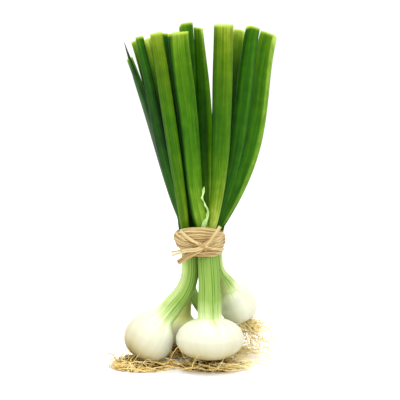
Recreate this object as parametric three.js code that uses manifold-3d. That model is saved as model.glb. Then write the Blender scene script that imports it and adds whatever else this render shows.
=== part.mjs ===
// Spring onion bunch: five spring onions with round white bulbs, tied round their stalks with
// raffia. The tied bunch stands unheld on four of its bulbs, whose roots lie spread on the
// surface; the fifth bulb hangs a little above it. Millimetres, +Z up, front towards -Y.
import * as THREE from 'three';
import { mergeVertices } from 'three/addons/utils/BufferGeometryUtils.js';
import Module from 'manifold-3d';

const wasm = await Module();
wasm.setup();

const { CatmullRomCurve3, LatheGeometry, Vector2, Vector3 } = THREE;

// ---- Driving dimensions ---------------------------------------------------------------

const CLEARANCE = 0.3; // gap kept between pieces that touch
const STALK_TOP = 120; // height at which each stalk has parted into leaves
const LEAF_START = 110; // height inside the stalk from which a leaf grows
const LEVELS = { foot: 118, waist: 175, shoulder: 235 }; // heights at which leaf widths are given

const TIE = { level: 103, height: 22, radius: 20, bore: 17.8, ridges: 4, ridgeDepth: 0.5 };
const KNOT = { x: 4.3, level: 100, width: 9, height: 7, depth: 4.5 };
const TAIL_THICKNESS = 0.9;

const MOUTH_DEPTH = 9; // hollow at the cut end of a leaf
const LEAF_WALL = 1.1;
const LEAF_FLATNESS = 0.55; // thickness of a leaf over its width

const SIDES = { bulb: 18, leaf: 10, tie: 28, mat: 26, tuft: 14 };
const STEPS = { bulb: 11, stalk: 9, leaf: 8 };

// ---- Plants: places are [x, y, height] ----------------------------------------------------

// Each stalk runs straight up the bulb's own axis, from the root plate through the neck,
// then bends through the points of its route to its place in the tie.
const PLANTS = [
  {
    name: 'front',
    root: [8.2, -20.5, 7.2],
    neck: [7.6, -18.5, 43],
    route: [[7.4, -14.5, 68], [6.2, -10.4, 88], [5.5, -8.6, TIE.level]],
    bulbRadius: 27.6,
    bulbHeight: 35.5,
    plateRadius: 9,
    neckRadius: 10,
    stalkRadius: 7.6,
    blend: 3.6,
  },
  {
    name: 'left',
    root: [-51.5, -13.4, 7],
    neck: [-26.5, -11, 47.5],
    route: [[-14.2, -8.6, 62.5], [-8.8, -6, 76], [-8.6, -4.8, TIE.level]],
    bulbRadius: 20.6,
    bulbHeight: 39,
    plateRadius: 4.5,
    neckRadius: 9.2,
    stalkRadius: 6.3,
    blend: 2.6,
  },
  {
    name: 'right',
    root: [36.4, 14.3, 29.5],
    neck: [25.4, 11.4, 63],
    route: [[18, 7.6, 75], [14.2, 5, 88], [11.2, 3.4, TIE.level]],
    bulbRadius: 15.8,
    bulbHeight: 29,
    plateRadius: 3.5,
    neckRadius: 6.6,
    stalkRadius: 5,
    blend: 2.6,
  },
  {
    name: 'rear_left',
    root: [-15.4, 26.5, 6.5],
    neck: [-13.8, 21.5, 41],
    route: [[-10.4, 19.6, 60], [-4.4, 16.2, 80], [0.5, 11.2, TIE.level]],
    bulbRadius: 14.8,
    bulbHeight: 26,
    plateRadius: 4,
    neckRadius: 7,
    stalkRadius: 5.7,
    blend: 2.6,
  },
  {
    name: 'rear_right',
    root: [17.5, 30.5, 6],
    neck: [3.8, 17, 37.5],
    route: [[-5.4, 11.4, 53], [-10.2, 8, 72], [-9.6, 8.4, TIE.level]],
    bulbRadius: 14.2,
    bulbHeight: 24,
    plateRadius: 4,
    neckRadius: 5.4,
    stalkRadius: 4.2,
    blend: 2.8,
  },
];

// Each leaf leaves its plant's place in the tie, passes its foot and waist, and ends at its tip.
// Widths are at foot, waist, shoulder and tip; `turn` is where its rounded side looks, in
// degrees from the front towards +X. The leaf that lies foremost comes first.
const LEAVES = [
  {
    plant: 'front',
    name: 'right',
    foot: [10.9, -10],
    waist: [15.8, -15.4],
    tip: [18, -22, 272.5],
    widths: [8.6, 14.8, 16.2, 15.4],
    turn: 8,
  },
  {
    plant: 'front',
    name: 'left',
    foot: [-1.4, -10],
    waist: [-6.7, -16],
    tip: [-17.4, -26, 266],
    widths: [11.5, 15.2, 17.4, 15.8],
    turn: -10,
  },
  {
    plant: 'left',
    name: 'front',
    foot: [-11.8, -8.6],
    waist: [-20.2, -16],
    tip: [-33.2, -25, 266],
    widths: [8, 11, 11, 9.6],
    turn: -22,
  },
  {
    plant: 'right',
    name: 'outer',
    foot: [19.6, 1.4],
    waist: [41, 6.6],
    tip: [53, 13, 265],
    widths: [8, 13.6, 14.2, 14.8],
    turn: 30,
  },
  {
    plant: 'right',
    name: 'middle',
    foot: [16, 1.2],
    waist: [28.7, 0.6],
    tip: [40.4, -3, 271],
    widths: [7, 11.4, 12.6, 11.4],
    turn: 18,
  },
  {
    plant: 'left',
    name: 'middle',
    foot: [-14.6, -3.8],
    waist: [-28.2, -5.6],
    tip: [-46.8, -10, 263.4],
    widths: [6.6, 8.4, 7.8, 6.4],
    turn: -40,
  },
  {
    plant: 'front',
    name: 'inner',
    foot: [4.8, -6],
    waist: [2.6, -3.6],
    tip: [-1.4, 1, 270.5],
    widths: [6.4, 8, 8.4, 7],
    turn: 0,
  },
  {
    plant: 'rear_left',
    name: 'front',
    foot: [0.4, 5.6],
    waist: [-5.2, 1],
    tip: [-10.8, -5, 274],
    widths: [7.6, 11.2, 11.6, 11.4],
    turn: -5,
  },
  {
    plant: 'left',
    name: 'pointed',
    foot: [-16.6, 0.4],
    waist: [-32.2, 1.4],
    tip: [-60, 4, 260],
    widths: [5.2, 7, 5.6, 1.4],
    turn: -65,
  },
  {
    plant: 'rear_right',
    name: 'front',
    foot: [-11.6, 6],
    waist: [-23.2, 7.2],
    tip: [-40.4, 10, 261.5],
    widths: [6.6, 8.6, 8.6, 8],
    turn: -30,
  },
  {
    plant: 'right',
    name: 'rear',
    foot: [12.6, 8.8],
    waist: [21.6, 17],
    tip: [31.2, 30, 269],
    widths: [6.8, 9.6, 9.6, 9],
    turn: 150,
  },
  {
    plant: 'rear_left',
    name: 'middle',
    foot: [-3.4, 8.6],
    waist: [-14, 13],
    tip: [-28, 20, 265.5],
    widths: [7.4, 9.4, 9.4, 8.8],
    turn: -160,
  },
  {
    plant: 'rear_right',
    name: 'outer',
    foot: [-15.6, 6.6],
    waist: [-32.2, 13.4],
    tip: [-56, 21, 246.5],
    widths: [5.2, 6.8, 6.8, 6.4],
    turn: -120,
  },
  {
    plant: 'rear_right',
    name: 'rear',
    foot: [-13, 9.4],
    waist: [-29.2, 18.2],
    tip: [-52, 30, 260],
    widths: [6, 7.4, 7.2, 6.6],
    turn: -140,
  },
  {
    plant: 'rear_left',
    name: 'rear',
    foot: [1.8, 14],
    waist: [-5.6, 26.6],
    tip: [-19, 41, 264],
    widths: [7.8, 10.4, 10.6, 10],
    turn: -170,
  },
];

// Roots of the standing bulbs: a low mat spread on the surface under each.
const MATS = [
  { plant: 'front', centre: [11, -14], reach: [30, 16], height: 9, turn: 0.4 },
  { plant: 'left', centre: [-50, -14], reach: [20, 16], height: 9.5, turn: 1.7 },
  { plant: 'rear_left', centre: [-20, 22], reach: [20, 16], height: 9, turn: 2.9 },
  { plant: 'rear_right', centre: [21, 27], reach: [20, 15], height: 8.5, turn: 4.1 },
];

const HANGING_TUFT = {
  plant: 'right',
  route: [[37.2, 14.5, 27.5], [42, 15.5, 21.5], [48.5, 15.5, 16], [54, 14, 8.5]],
  radii: [3, 7.6, 8.8, 4.6],
};

const TAILS = [
  {
    name: 'raffia_tail_up',
    route: [[6.4, -24.4, 102], [11, -24.4, 109], [15.8, -23.4, 116.4]],
    width: 3.4,
  },
  {
    name: 'raffia_tail_left_upper',
    route: [[0.5, -25.4, 98.4], [-10, -23.6, 97.4], [-22.4, -19.4, 94]],
    width: 2.6,
  },
  {
    name: 'raffia_tail_left_lower',
    route: [[0.8, -25.2, 95.8], [-8.5, -23.4, 93.2], [-17.4, -21.4, 87]],
    width: 3.8,
  },
];

// ---- Materials ------------------------------------------------------------------------

const stuff = (color, roughness) => () => new THREE.MeshStandardMaterial({ color, roughness, metalness: 0 });

const BULB_SKIN = stuff(0xf0f2d8, 0.35);
const LEAF_GREEN = stuff(0x3f8a1c, 0.4);
const ROOT_STRAW = stuff(0xd9b86a, 0.8);
const RAFFIA = stuff(0xd8b984, 0.7);

// ---- Shared shape tools -------------------------------------------------------------------

const clamp01 = (t) => Math.min(1, Math.max(0, t));

// Straight-line value between the knots (at, value) of a rising list.
function between(knots, at) {
  const last = knots.length - 1;
  let i = 0;
  while (i < last - 1 && at > knots[i + 1][0]) i += 1;
  const [a, va] = knots[i];
  const [b, vb] = knots[i + 1];
  return va + (vb - va) * clamp01((at - a) / (b - a));
}

const curveThrough = (places) =>
  new CatmullRomCurve3(places.map((place) => new Vector3(...place)), false, 'centripetal');

// Carries a shape that stands along Y, from 0 to the curve's length, along that curve: its Z
// side turns to face `look` and its X side lies across.
function carry(geometry, curve, look) {
  const length = curve.getLength();
  const place = geometry.getAttribute('position');
  const out = new Vector3();
  const across = new Vector3();
  for (let i = 0; i < place.count; i += 1) {
    const along = clamp01(place.getY(i) / length);
    const past = place.getY(i) - along * length;
    const tangent = curve.getTangentAt(along);
    out.copy(look).addScaledVector(tangent, -look.dot(tangent)).normalize();
    across.crossVectors(tangent, out);
    const point = curve.getPointAt(along)
      .addScaledVector(tangent, past)
      .addScaledVector(across, place.getX(i))
      .addScaledVector(out, place.getZ(i));
    place.setXYZ(i, point.x, point.y, point.z);
  }
  return geometry;
}

const lookTowards = (degrees) => {
  const angle = THREE.MathUtils.degToRad(degrees);
  return new Vector3(Math.sin(angle), -Math.cos(angle), 0);
};

// A closed three.js mesh as a solid that can be cut.
function solidOf(geometry) {
  const bare = geometry.clone();
  bare.deleteAttribute('normal');
  bare.deleteAttribute('uv');
  const merged = mergeVertices(bare, 1e-3);
  return new wasm.Manifold(new wasm.Mesh({
    numProp: 3,
    vertProperties: new Float32Array(merged.getAttribute('position').array),
    triVerts: new Uint32Array(merged.index.array),
  }));
}

function geometryOf(solid) {
  const mesh = solid.getMesh();
  const geometry = new THREE.BufferGeometry();
  geometry.setAttribute('position', new THREE.BufferAttribute(mesh.vertProperties, 3));
  geometry.setIndex(new THREE.BufferAttribute(mesh.triVerts, 1));
  geometry.computeVertexNormals();
  return geometry;
}

// What is left of a solid once its small offcuts are dropped.
function largest(solid) {
  return solid.decompose().reduce((best, piece) => (piece.volume() > best.volume() ? piece : best));
}

// ---- Plants ---------------------------------------------------------------------------

// Radius at height s above the root plate: a soft maximum of the oval bulb and the neck, which
// narrows to the stalk. `blend` is how tight the hollow between shoulder and neck is.
function plantRadius(plant, s) {
  const { bulbRadius, bulbHeight, plateRadius, neckRadius, stalkRadius, blend } = plant;
  const sunk = Math.sqrt(1 - (plateRadius / bulbRadius) ** 2);
  const half = bulbHeight / (1 + sunk);
  const u = s / half - sunk;
  const oval = Math.abs(u) < 1 ? bulbRadius * Math.sqrt(1 - u * u) : 0;
  const taper = Math.exp(-Math.max(0, s - bulbHeight) / (2.4 * neckRadius));
  const grown = THREE.MathUtils.smoothstep(s, 0.35 * bulbHeight, bulbHeight);
  const neck = grown * (stalkRadius + (neckRadius - stalkRadius) * taper);
  return (oval ** blend + neck ** blend) ** (1 / blend);
}

function plantCurve({ root, neck, route }) {
  const low = new Vector3(...root);
  const high = new Vector3(...neck);
  const onAxis = [0, 0.35, 0.7, 1].map((t) => low.clone().lerp(high, t).toArray());
  const [x, y] = route.at(-1);
  return curveThrough([...onAxis, ...route, [x, y, STALK_TOP]]);
}

function plantShape(plant, grow) {
  const curve = plantCurve(plant);
  const length = curve.getLength();
  const shoulder = plant.bulbHeight * 1.25;
  const heights = [];
  for (let i = 0; i <= STEPS.bulb; i += 1) {
    heights.push((shoulder * (1 - Math.cos((Math.PI * i) / STEPS.bulb))) / 2);
  }
  for (let i = 1; i <= STEPS.stalk; i += 1) {
    heights.push(shoulder + ((length - 3 - shoulder) * i) / STEPS.stalk);
  }
  const profile = heights.map((s) => new Vector2(plantRadius(plant, s) + grow, s - (s === 0 ? grow : 0)));
  const crown = plantRadius(plant, length);
  profile.unshift(new Vector2(0, -grow));
  profile.push(new Vector2(0.7 * crown + grow, length - 0.8), new Vector2(0, length + grow));
  return carry(new LatheGeometry(profile, SIDES.bulb), curve, lookTowards(0));
}

// ---- Leaves -----------------------------------------------------------------------------

function leafCurve(leaf) {
  const plant = PLANTS.find(({ name }) => name === leaf.plant);
  const [x, y] = plant.route.at(-1);
  const { foot, waist, tip } = leaf;
  const start = [x + 0.35 * (foot[0] - x), y + 0.35 * (foot[1] - y), LEAF_START];
  return curveThrough([start, [...foot, LEVELS.foot], [...waist, LEVELS.waist], tip]);
}

// Half the width of a leaf at height z.
function leafHalfWidth({ widths, tip }, z) {
  const levels = [LEVELS.foot, LEVELS.waist, LEVELS.shoulder, tip[2]];
  return between(levels.map((level, i) => [level, widths[i]]), z) / 2;
}

// A flattened tube, rounder on the side it shows, hollow at its cut end.
function leafShape(leaf, grow) {
  const curve = leafCurve(leaf);
  const length = curve.getLength();
  const radiusAt = (s) => leafHalfWidth(leaf, curve.getPointAt(s / length).z) + grow;
  const profile = [new Vector2(0, -grow)];
  for (let i = 0; i <= STEPS.leaf; i += 1) {
    const s = (length * i) / STEPS.leaf;
    profile.push(new Vector2(radiusAt(s), s + (i === STEPS.leaf ? grow : 0)));
  }
  const rim = radiusAt(length);
  const inside = rim - LEAF_WALL;
  if (grow === 0 && inside > LEAF_WALL) {
    profile.push(new Vector2(inside, length), new Vector2(0.8 * inside, length - MOUTH_DEPTH));
    profile.push(new Vector2(0, length - MOUTH_DEPTH));
  } else {
    profile.push(new Vector2(0, length + grow));
  }
  const tube = new LatheGeometry(profile, SIDES.leaf);
  const place = tube.getAttribute('position');
  for (let i = 0; i < place.count; i += 1) {
    const z = place.getZ(i);
    const flat = LEAF_FLATNESS * (z < 0 ? 0.75 : 1.15);
    place.setZ(i, flat * z + (1 - flat) * grow * Math.sign(z));
  }
  return carry(tube, curve, lookTowards(leaf.turn));
}

// ---- Roots ------------------------------------------------------------------------------

// Edge of a root clump at angle a: about 1, with tongues where strands reach out.
const ragged = (a, turn) =>
  1 + 0.1 * Math.sin(3 * a + turn) + 0.09 * Math.sin(5 * a + 2 * turn) + 0.07 * Math.sin(9 * a + 3 * turn);

function matShape({ centre, reach, height, turn }) {
  const profile = [[0, 0], [1, 0], [1, 0.12], [0.78, 0.5], [0.5, 0.8], [0.25, 0.97], [0, 1]];
  const mat = new LatheGeometry(profile.map(([r, h]) => new Vector2(r, h)), SIDES.mat);
  mat.rotateX(Math.PI / 2);
  const place = mat.getAttribute('position');
  for (let i = 0; i < place.count; i += 1) {
    const edge = ragged(Math.atan2(place.getY(i), place.getX(i)), turn);
    place.setXY(i, place.getX(i) * edge * reach[0], place.getY(i) * edge * reach[1]);
  }
  mat.scale(1, 1, height);
  mat.translate(...centre, 0);
  return mat;
}

function tuftShape({ route, radii }) {
  const curve = curveThrough(route);
  const length = curve.getLength();
  const steps = 7;
  const knots = radii.map((radius, i) => [i / (radii.length - 1), radius]);
  const profile = [new Vector2(0, 0)];
  for (let i = 0; i <= steps; i += 1) {
    profile.push(new Vector2(between(knots, i / steps), (length * i) / steps));
  }
  profile.push(new Vector2(0, length + 1));
  const tuft = new LatheGeometry(profile, SIDES.tuft);
  const place = tuft.getAttribute('position');
  for (let i = 0; i < place.count; i += 1) {
    const edge = ragged(Math.atan2(place.getZ(i), place.getX(i)), 0.3 * place.getY(i));
    place.setXYZ(i, place.getX(i) * edge, place.getY(i), place.getZ(i) * edge);
  }
  return carry(tuft, curve, lookTowards(0));
}

// ---- Raffia -----------------------------------------------------------------------------

// A barrel-shaped band, ridged where its turns lie over each other.
function tieShape(grow) {
  const steps = 3 * TIE.ridges;
  const profile = [];
  for (let i = 0; i <= steps; i += 1) {
    const t = i / steps;
    const barrel = Math.sqrt(Math.sin(Math.PI * (0.12 + 0.76 * t)));
    const ridge = TIE.ridgeDepth * Math.cos(2 * Math.PI * TIE.ridges * t);
    const radius = TIE.bore + (TIE.radius - TIE.bore - TIE.ridgeDepth) * barrel - ridge + grow;
    profile.push(new Vector2(radius, (t - 0.5) * (TIE.height + 2 * grow)));
  }
  profile.push(new Vector2(TIE.bore - grow, 0.5 * TIE.height + grow));
  profile.push(new Vector2(TIE.bore - grow, -0.5 * TIE.height - grow));
  profile.push(profile[0].clone());
  const band = new LatheGeometry(profile, SIDES.tie);
  band.rotateX(Math.PI / 2);
  band.translate(0, 0, TIE.level);
  return band;
}

function knotShape(grow) {
  const knot = new THREE.SphereGeometry(0.5, 12, 8);
  knot.scale(KNOT.width + 2 * grow, KNOT.depth + 2 * grow, KNOT.height + 2 * grow);
  knot.translate(KNOT.x, -TIE.radius - 0.4 * KNOT.depth, KNOT.level);
  return knot;
}

function tailShape({ route, width }, grow) {
  const curve = curveThrough(route);
  const length = curve.getLength();
  const more = 2 * grow;
  const strip = new THREE.BoxGeometry(width + more, length + more, TAIL_THICKNESS + more, 1, 6, 1);
  strip.translate(0, length / 2, 0);
  return carry(strip, curve, lookTowards(0));
}

// ---- The bunch ---------------------------------------------------------------------------

// In the order of this list, each piece is cut clear of the pieces before it.
const pieces = [
  { name: 'raffia_band', shape: tieShape, material: RAFFIA },
  ...PLANTS.map((plant) => ({
    name: `onion_${plant.name}`,
    shape: (grow) => plantShape(plant, grow),
    material: BULB_SKIN,
  })),
  { name: 'raffia_knot', shape: knotShape, material: RAFFIA },
  ...TAILS.map((tail) => ({
    name: tail.name,
    shape: (grow) => tailShape(tail, grow),
    material: RAFFIA,
  })),
  ...LEAVES.map((leaf) => ({
    name: `leaf_${leaf.plant}_${leaf.name}`,
    shape: (grow) => leafShape(leaf, grow),
    material: LEAF_GREEN,
  })),
  ...MATS.map((mat) => ({
    name: `roots_${mat.plant}`,
    shape: () => matShape(mat),
    material: ROOT_STRAW,
  })),
  {
    name: `roots_${HANGING_TUFT.plant}`,
    shape: () => tuftShape(HANGING_TUFT),
    material: ROOT_STRAW,
  },
];

const bunch = new THREE.Group();
const placed = [];
for (const { name, shape, material } of pieces) {
  let solid = solidOf(shape(0));
  for (const other of placed) solid = solid.subtract(other);
  const mesh = new THREE.Mesh(geometryOf(largest(solid)), material());
  mesh.name = name;
  bunch.add(mesh);
  placed.push(solidOf(shape(CLEARANCE)));
}

// The origin is on the surface that the bunch stands on, under the middle of its outline.
const box = new THREE.Box3().setFromObject(bunch);
const middle = box.getCenter(new Vector3());
bunch.position.set(-middle.x, -middle.y, -box.min.z);

export default bunch;
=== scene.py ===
# %% [markdown]
# # A bunch of spring onions tied with raffia
# Five spring onions with round white bulbs are tied round their stalks and stand on their bulbs.
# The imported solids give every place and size, but they are coarse. So each piece is made again
# as a fine surface, worked out with numpy, and gets a material of its own made from nodes.

import bpy
import numpy as np
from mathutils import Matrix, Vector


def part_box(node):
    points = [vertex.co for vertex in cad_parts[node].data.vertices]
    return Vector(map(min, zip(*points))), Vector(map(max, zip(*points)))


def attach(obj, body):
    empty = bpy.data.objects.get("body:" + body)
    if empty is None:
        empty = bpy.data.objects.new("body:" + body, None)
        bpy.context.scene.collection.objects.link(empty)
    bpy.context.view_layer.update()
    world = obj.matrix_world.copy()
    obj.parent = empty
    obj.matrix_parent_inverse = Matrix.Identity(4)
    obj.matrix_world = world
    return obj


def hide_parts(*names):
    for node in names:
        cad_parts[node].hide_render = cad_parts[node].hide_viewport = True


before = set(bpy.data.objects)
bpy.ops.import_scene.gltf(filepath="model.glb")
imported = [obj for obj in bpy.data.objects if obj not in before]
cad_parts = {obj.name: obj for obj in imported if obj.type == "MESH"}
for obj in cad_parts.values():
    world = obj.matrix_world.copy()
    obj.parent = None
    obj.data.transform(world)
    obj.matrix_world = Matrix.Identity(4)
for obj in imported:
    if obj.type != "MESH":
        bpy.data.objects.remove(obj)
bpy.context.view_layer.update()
MM = 0.001


# %% [markdown]
# ## Small tools
# Stalks, leaves, roots and raffia are all long and thin. They could be curves with a bevel, but
# then their section could not change along the way. So each is a profile carried along a path,
# worked out as a grid of points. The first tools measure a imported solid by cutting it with
# planes, carry a profile along a path, and turn the grid into a closed mesh.

# %% Numbers and colours
def linear(code):
    """A colour written as sRGB hex, such as "8fbf4a", as linear red, green, blue and alpha 1."""
    srgb = np.array([int(code[i : i + 2], 16) for i in (0, 2, 4)]) / 255
    low = srgb / 12.92
    high = ((srgb + 0.055) / 1.055) ** 2.4
    return [*np.where(srgb <= 0.04045, low, high), 1.0]


def unit(v):
    """Each row divided by its own length."""
    return v / np.maximum(np.linalg.norm(v, axis=-1, keepdims=True), 1e-12)


def ease(low, high, x):
    """0 below low, 1 above high, and a smooth S between them."""
    t = np.clip((x - low) / (high - low), 0, 1)
    return t * t * (3 - 2 * t)


def soften(values, width):
    """Each row becomes the mean of the 2*width+1 rows round it; the end rows are repeated."""
    kernel = np.ones(2 * width + 1) / (2 * width + 1)
    padded = np.pad(values, [(width, width)] + [(0, 0)] * (values.ndim - 1), mode="edge")
    return np.apply_along_axis(lambda column: np.convolve(column, kernel, "valid"), 0, padded)


def distances(points):
    """How far each point of a path is from its first one, measured along the path."""
    return np.r_[0, np.cumsum(np.linalg.norm(np.diff(points, axis=0), axis=1))]


def spread(points, count):
    """The same path with `count` points spaced evenly along it, and its length."""
    run = distances(points)
    even = np.linspace(0, run[-1], count)
    return np.stack([np.interp(even, run, points[:, k]) for k in range(3)], 1), run[-1]


def smooth_path(places, count):
    """A smooth path through a few places: a cubic between each two, with Catmull-Rom slopes."""
    places = np.asarray(places, float)
    slopes = np.gradient(places, axis=0)
    t = np.linspace(0, len(places) - 1, count)
    i = np.minimum(t.astype(int), len(places) - 2)
    f = (t - i)[:, None]
    a, b, ta, tb = places[i], places[i + 1], slopes[i], slopes[i + 1]
    return (
        a * (2 * f**3 - 3 * f**2 + 1)
        + b * (3 * f**2 - 2 * f**3)
        + ta * (f**3 - 2 * f**2 + f)
        + tb * (f**3 - f**2)
    )


def along(points, look):
    """Three unit directions at each point of a path, or of many paths in one array.

    They run along the path, out of it towards `look`, and across, square to the other two.
    """
    tangent = unit(np.gradient(points, axis=-2))
    look = np.broadcast_to(look, points.shape)
    out = unit(look - (look * tangent).sum(-1, keepdims=True) * tangent)
    return tangent, out, np.cross(tangent, out)


def carried(path, sideways, outwards, across, out):
    """A profile carried along a path: path + sideways * across + outwards * out, as rings."""
    return (
        path[..., None, :]
        + sideways[..., None] * across[..., None, :]
        + outwards[..., None] * out[..., None, :]
    )


def vectors(shape, *parts):
    """One row of xyz for each grid point, from three parts that are each spread to `shape`."""
    return np.stack([np.broadcast_to(part, shape) for part in parts], -1).reshape(-1, 3)


print("white in linear light:", linear("ffffff"))


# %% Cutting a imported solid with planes
def triangles(node):
    """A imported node's triangles as an array: triangle, corner, xyz."""
    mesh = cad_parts[node].data
    mesh.calc_loop_triangles()
    places = np.empty(len(mesh.vertices) * 3)
    mesh.vertices.foreach_get("co", places)
    corners = np.empty(len(mesh.loop_triangles) * 3, int)
    mesh.loop_triangles.foreach_get("vertices", corners)
    return places.reshape(-1, 3)[corners].reshape(-1, 3, 3)


def cut(solid, point, normal):
    """Where a plane cuts a solid's triangles: the two ends of each short line, or none."""
    side = (solid - point) @ normal
    starts = []
    for a, b in ((0, 1), (1, 2), (2, 0)):
        share = side[:, a] / np.where(side[:, a] == side[:, b], 1, side[:, a] - side[:, b])
        place = solid[:, a] + share[:, None] * (solid[:, b] - solid[:, a])
        crossed = (side[:, a] > 0) != (side[:, b] > 0)
        starts.append(np.where(crossed[:, None], place, np.nan))
    ends = np.stack(starts, 1)
    ends = ends[(~np.isnan(ends[:, :, 0])).sum(1) == 2]
    return ends[~np.isnan(ends[:, :, 0])].reshape(-1, 2, 3)


def middle_and_area(lines, normal):
    """Centre and area of a cut, from the thin triangles between its lines and their mean."""
    hub = lines.reshape(-1, 3).mean(0)
    area = np.abs(np.cross(lines[:, 0] - hub, lines[:, 1] - hub) @ normal) / 2
    thirds = (lines.sum(1) + hub) / 3
    return (thirds * area[:, None]).sum(0) / area.sum(), area.sum()


CUT_STEP = 1.5 * MM  # from one cut to the next
MOST_CUTS = 60  # more than any bulb is long
BULB_JUMP = 1.2  # how many times wider a cut is than the third one before it, at the bulb
SPINE_END = 6 * MM  # above the tie's middle


def radius_of(lines, centre):
    """The median distance of a cut's corners from its centre, so that dents don't count."""
    return np.median(np.linalg.norm(lines.reshape(-1, 3) - centre, axis=1))


def middle_line(node):
    """Centres and radii of an onion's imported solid, from its root plate up into the tie.

    Cuts follow the stalk down, each one square to the line through the last centres, until the
    radius jumps up by a fifth within three cuts: the bulb. The middle of the bulb is the mean
    of straight cuts weighted by area, and the bulb's axis runs from the neck through it. The
    line ends inside the tie, where the leaves take over.
    """
    solid = triangles(node)
    top = np.array([0, 0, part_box(node)[1][2] - 2 * MM])
    heading = np.array([0, 0, -1.0])
    point, _ = middle_and_area(cut(solid, top, heading), heading)
    places, radii = [], []
    while len(radii) < 4 or radii[-1] < BULB_JUMP * radii[-4]:
        lines = cut(solid, point, heading)
        centre, _ = middle_and_area(lines, heading)
        places.append(centre)
        radii.append(radius_of(lines, centre))
        if len(places) > 4:
            heading = unit(places[-1] - places[-5])
        point = centre + heading * CUT_STEP
    neck = places[-4]
    places, radii = places[:-3], radii[:-3]
    heading = unit(places[-1] - places[-6])
    sections = []
    for i in range(1, MOST_CUTS):
        lines = cut(solid, neck + heading * CUT_STEP * i, heading)
        if len(lines) > 5:
            sections.append(middle_and_area(lines, heading))
    weights = np.array([area for _, area in sections])
    bulb = (np.array([centre for centre, _ in sections]) * weights[:, None]).sum(0) / weights.sum()
    heading = unit(bulb - neck)
    for i in range(1, MOST_CUTS):
        point = neck + heading * CUT_STEP * i
        lines = cut(solid, point, heading)
        if len(lines) < 6:
            break
        places.append(point)
        radii.append(radius_of(lines, point))
    places, radii = np.array(places)[::-1], np.array(radii)[::-1]
    kept = places[:, 2] < tie[2] + SPINE_END
    return places[kept], radii[kept]


band_low, band_high = (np.array(corner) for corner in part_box("raffia_band"))
tie = (band_low + band_high) / 2
print("tie middle:", tie, "size:", band_high - band_low)


# %% A mesh from a grid
def give(mesh, name, values):
    """Stores one number or one vector for each vertex, for materials to read."""
    kind = "FLOAT_VECTOR" if values.ndim == 2 else "FLOAT"
    layer = mesh.attributes.new(name, kind, "POINT")
    layer.data.foreach_set("vector" if values.ndim == 2 else "value", values.ravel())


def piece(name, points, faces, layers, material, replaced=()):
    """A finished piece: mesh, attributes, material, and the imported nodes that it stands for."""
    mesh = bpy.data.meshes.new(name)
    mesh.from_pydata(points.tolist(), [], faces)
    for layer, values in layers.items():
        give(mesh, layer, np.asarray(values, float))
    mesh.polygons.foreach_set("use_smooth", np.ones(len(mesh.polygons), bool))
    mesh.materials.append(material)
    mesh.update()
    obj = bpy.data.objects.new(name, mesh)
    bpy.context.scene.collection.objects.link(obj)
    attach(obj, "root")
    if replaced:
        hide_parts(*replaced)
    print(name, "-", len(mesh.polygons), "faces")


def tube_faces(rows, around, first=0):
    """Four-sided faces of a closed tube of `rows` rings, and a many-sided face at each end."""
    ring = np.arange(around)
    row = np.arange(rows - 1)[:, None] * around + first
    after = (ring + 1) % around
    quads = np.stack([row + ring, row + after, row + around + after, row + around + ring], -1)
    ends = [(first + ring[::-1]).tolist(), (first + (rows - 1) * around + ring).tolist()]
    return quads.reshape(-1, 4).tolist() + ends


def many_tubes(rings):
    """Points and faces of many like tubes at once, from an array: tube, ring, corner, xyz."""
    tubes, rows, around, _ = rings.shape
    faces = []
    for tube in range(tubes):
        faces += tube_faces(rows, around, tube * rows * around)
    return rings.reshape(-1, 3), faces


print("a tube of 3 rings of 4 corners has", len(tube_faces(3, 4)), "faces")


# %% [markdown]
# ## Camera, light and floor
# A long lens from nine tenths of a metre, a little above the tie and tilted down, keeps the
# leaves nearly upright. A wide lens close by would splay them. The floor is plain and white, and
# most of the light comes evenly from the whole sky, so that shadows stay faint. One large lamp
# above and a smaller one at each side give the bulbs and leaves their soft shine.

# %% Camera
CAMERA_DISTANCE = 0.9  # metres
CAMERA_TILT = np.radians(8)
AIM_HEIGHT = 0.134  # metres above the floor
LENS_MM = 101.25
SENSOR_MM = 36

aim = np.array([tie[0], tie[1], AIM_HEIGHT])
back = np.array([0, -np.cos(CAMERA_TILT), np.sin(CAMERA_TILT)])
camera = bpy.data.objects.new("camera", bpy.data.cameras.new("camera"))
camera.data.lens = LENS_MM
camera.data.sensor_width = SENSOR_MM
camera.location = aim + CAMERA_DISTANCE * back
camera.rotation_euler = (np.pi / 2 - CAMERA_TILT, 0, 0)
bpy.context.scene.collection.objects.link(camera)
bpy.context.scene.camera = camera
bpy.context.scene.view_settings.view_transform = "Standard"
print("camera at", list(camera.location))


# %% One helper that adds a node
def add(tree, kind, inputs=None, stops=(), **settings):
    """Adds a node to a tree, sets its options, and fills or links each named input.

    A colour ramp also takes stops, which are pairs of position and hex colour.
    """
    node = tree.nodes.new(kind)
    for setting, value in settings.items():
        setattr(node, setting, value)
    for name, value in (inputs or {}).items():
        if isinstance(value, bpy.types.NodeSocket):
            tree.links.new(value, node.inputs[name])
        else:
            node.inputs[name].default_value = value
    for i, (position, code) in enumerate(stops):
        marks = node.color_ramp.elements
        mark = marks[i] if i < len(marks) else marks.new(1.0)
        mark.position, mark.color = position, linear(code)
    return node


def new_material(name):
    """A node material without nodes, and the tree to fill."""
    material = bpy.data.materials.new(name)
    material.use_nodes = True
    material.node_tree.nodes.clear()
    return material, material.node_tree


print("node helper ready")

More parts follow.
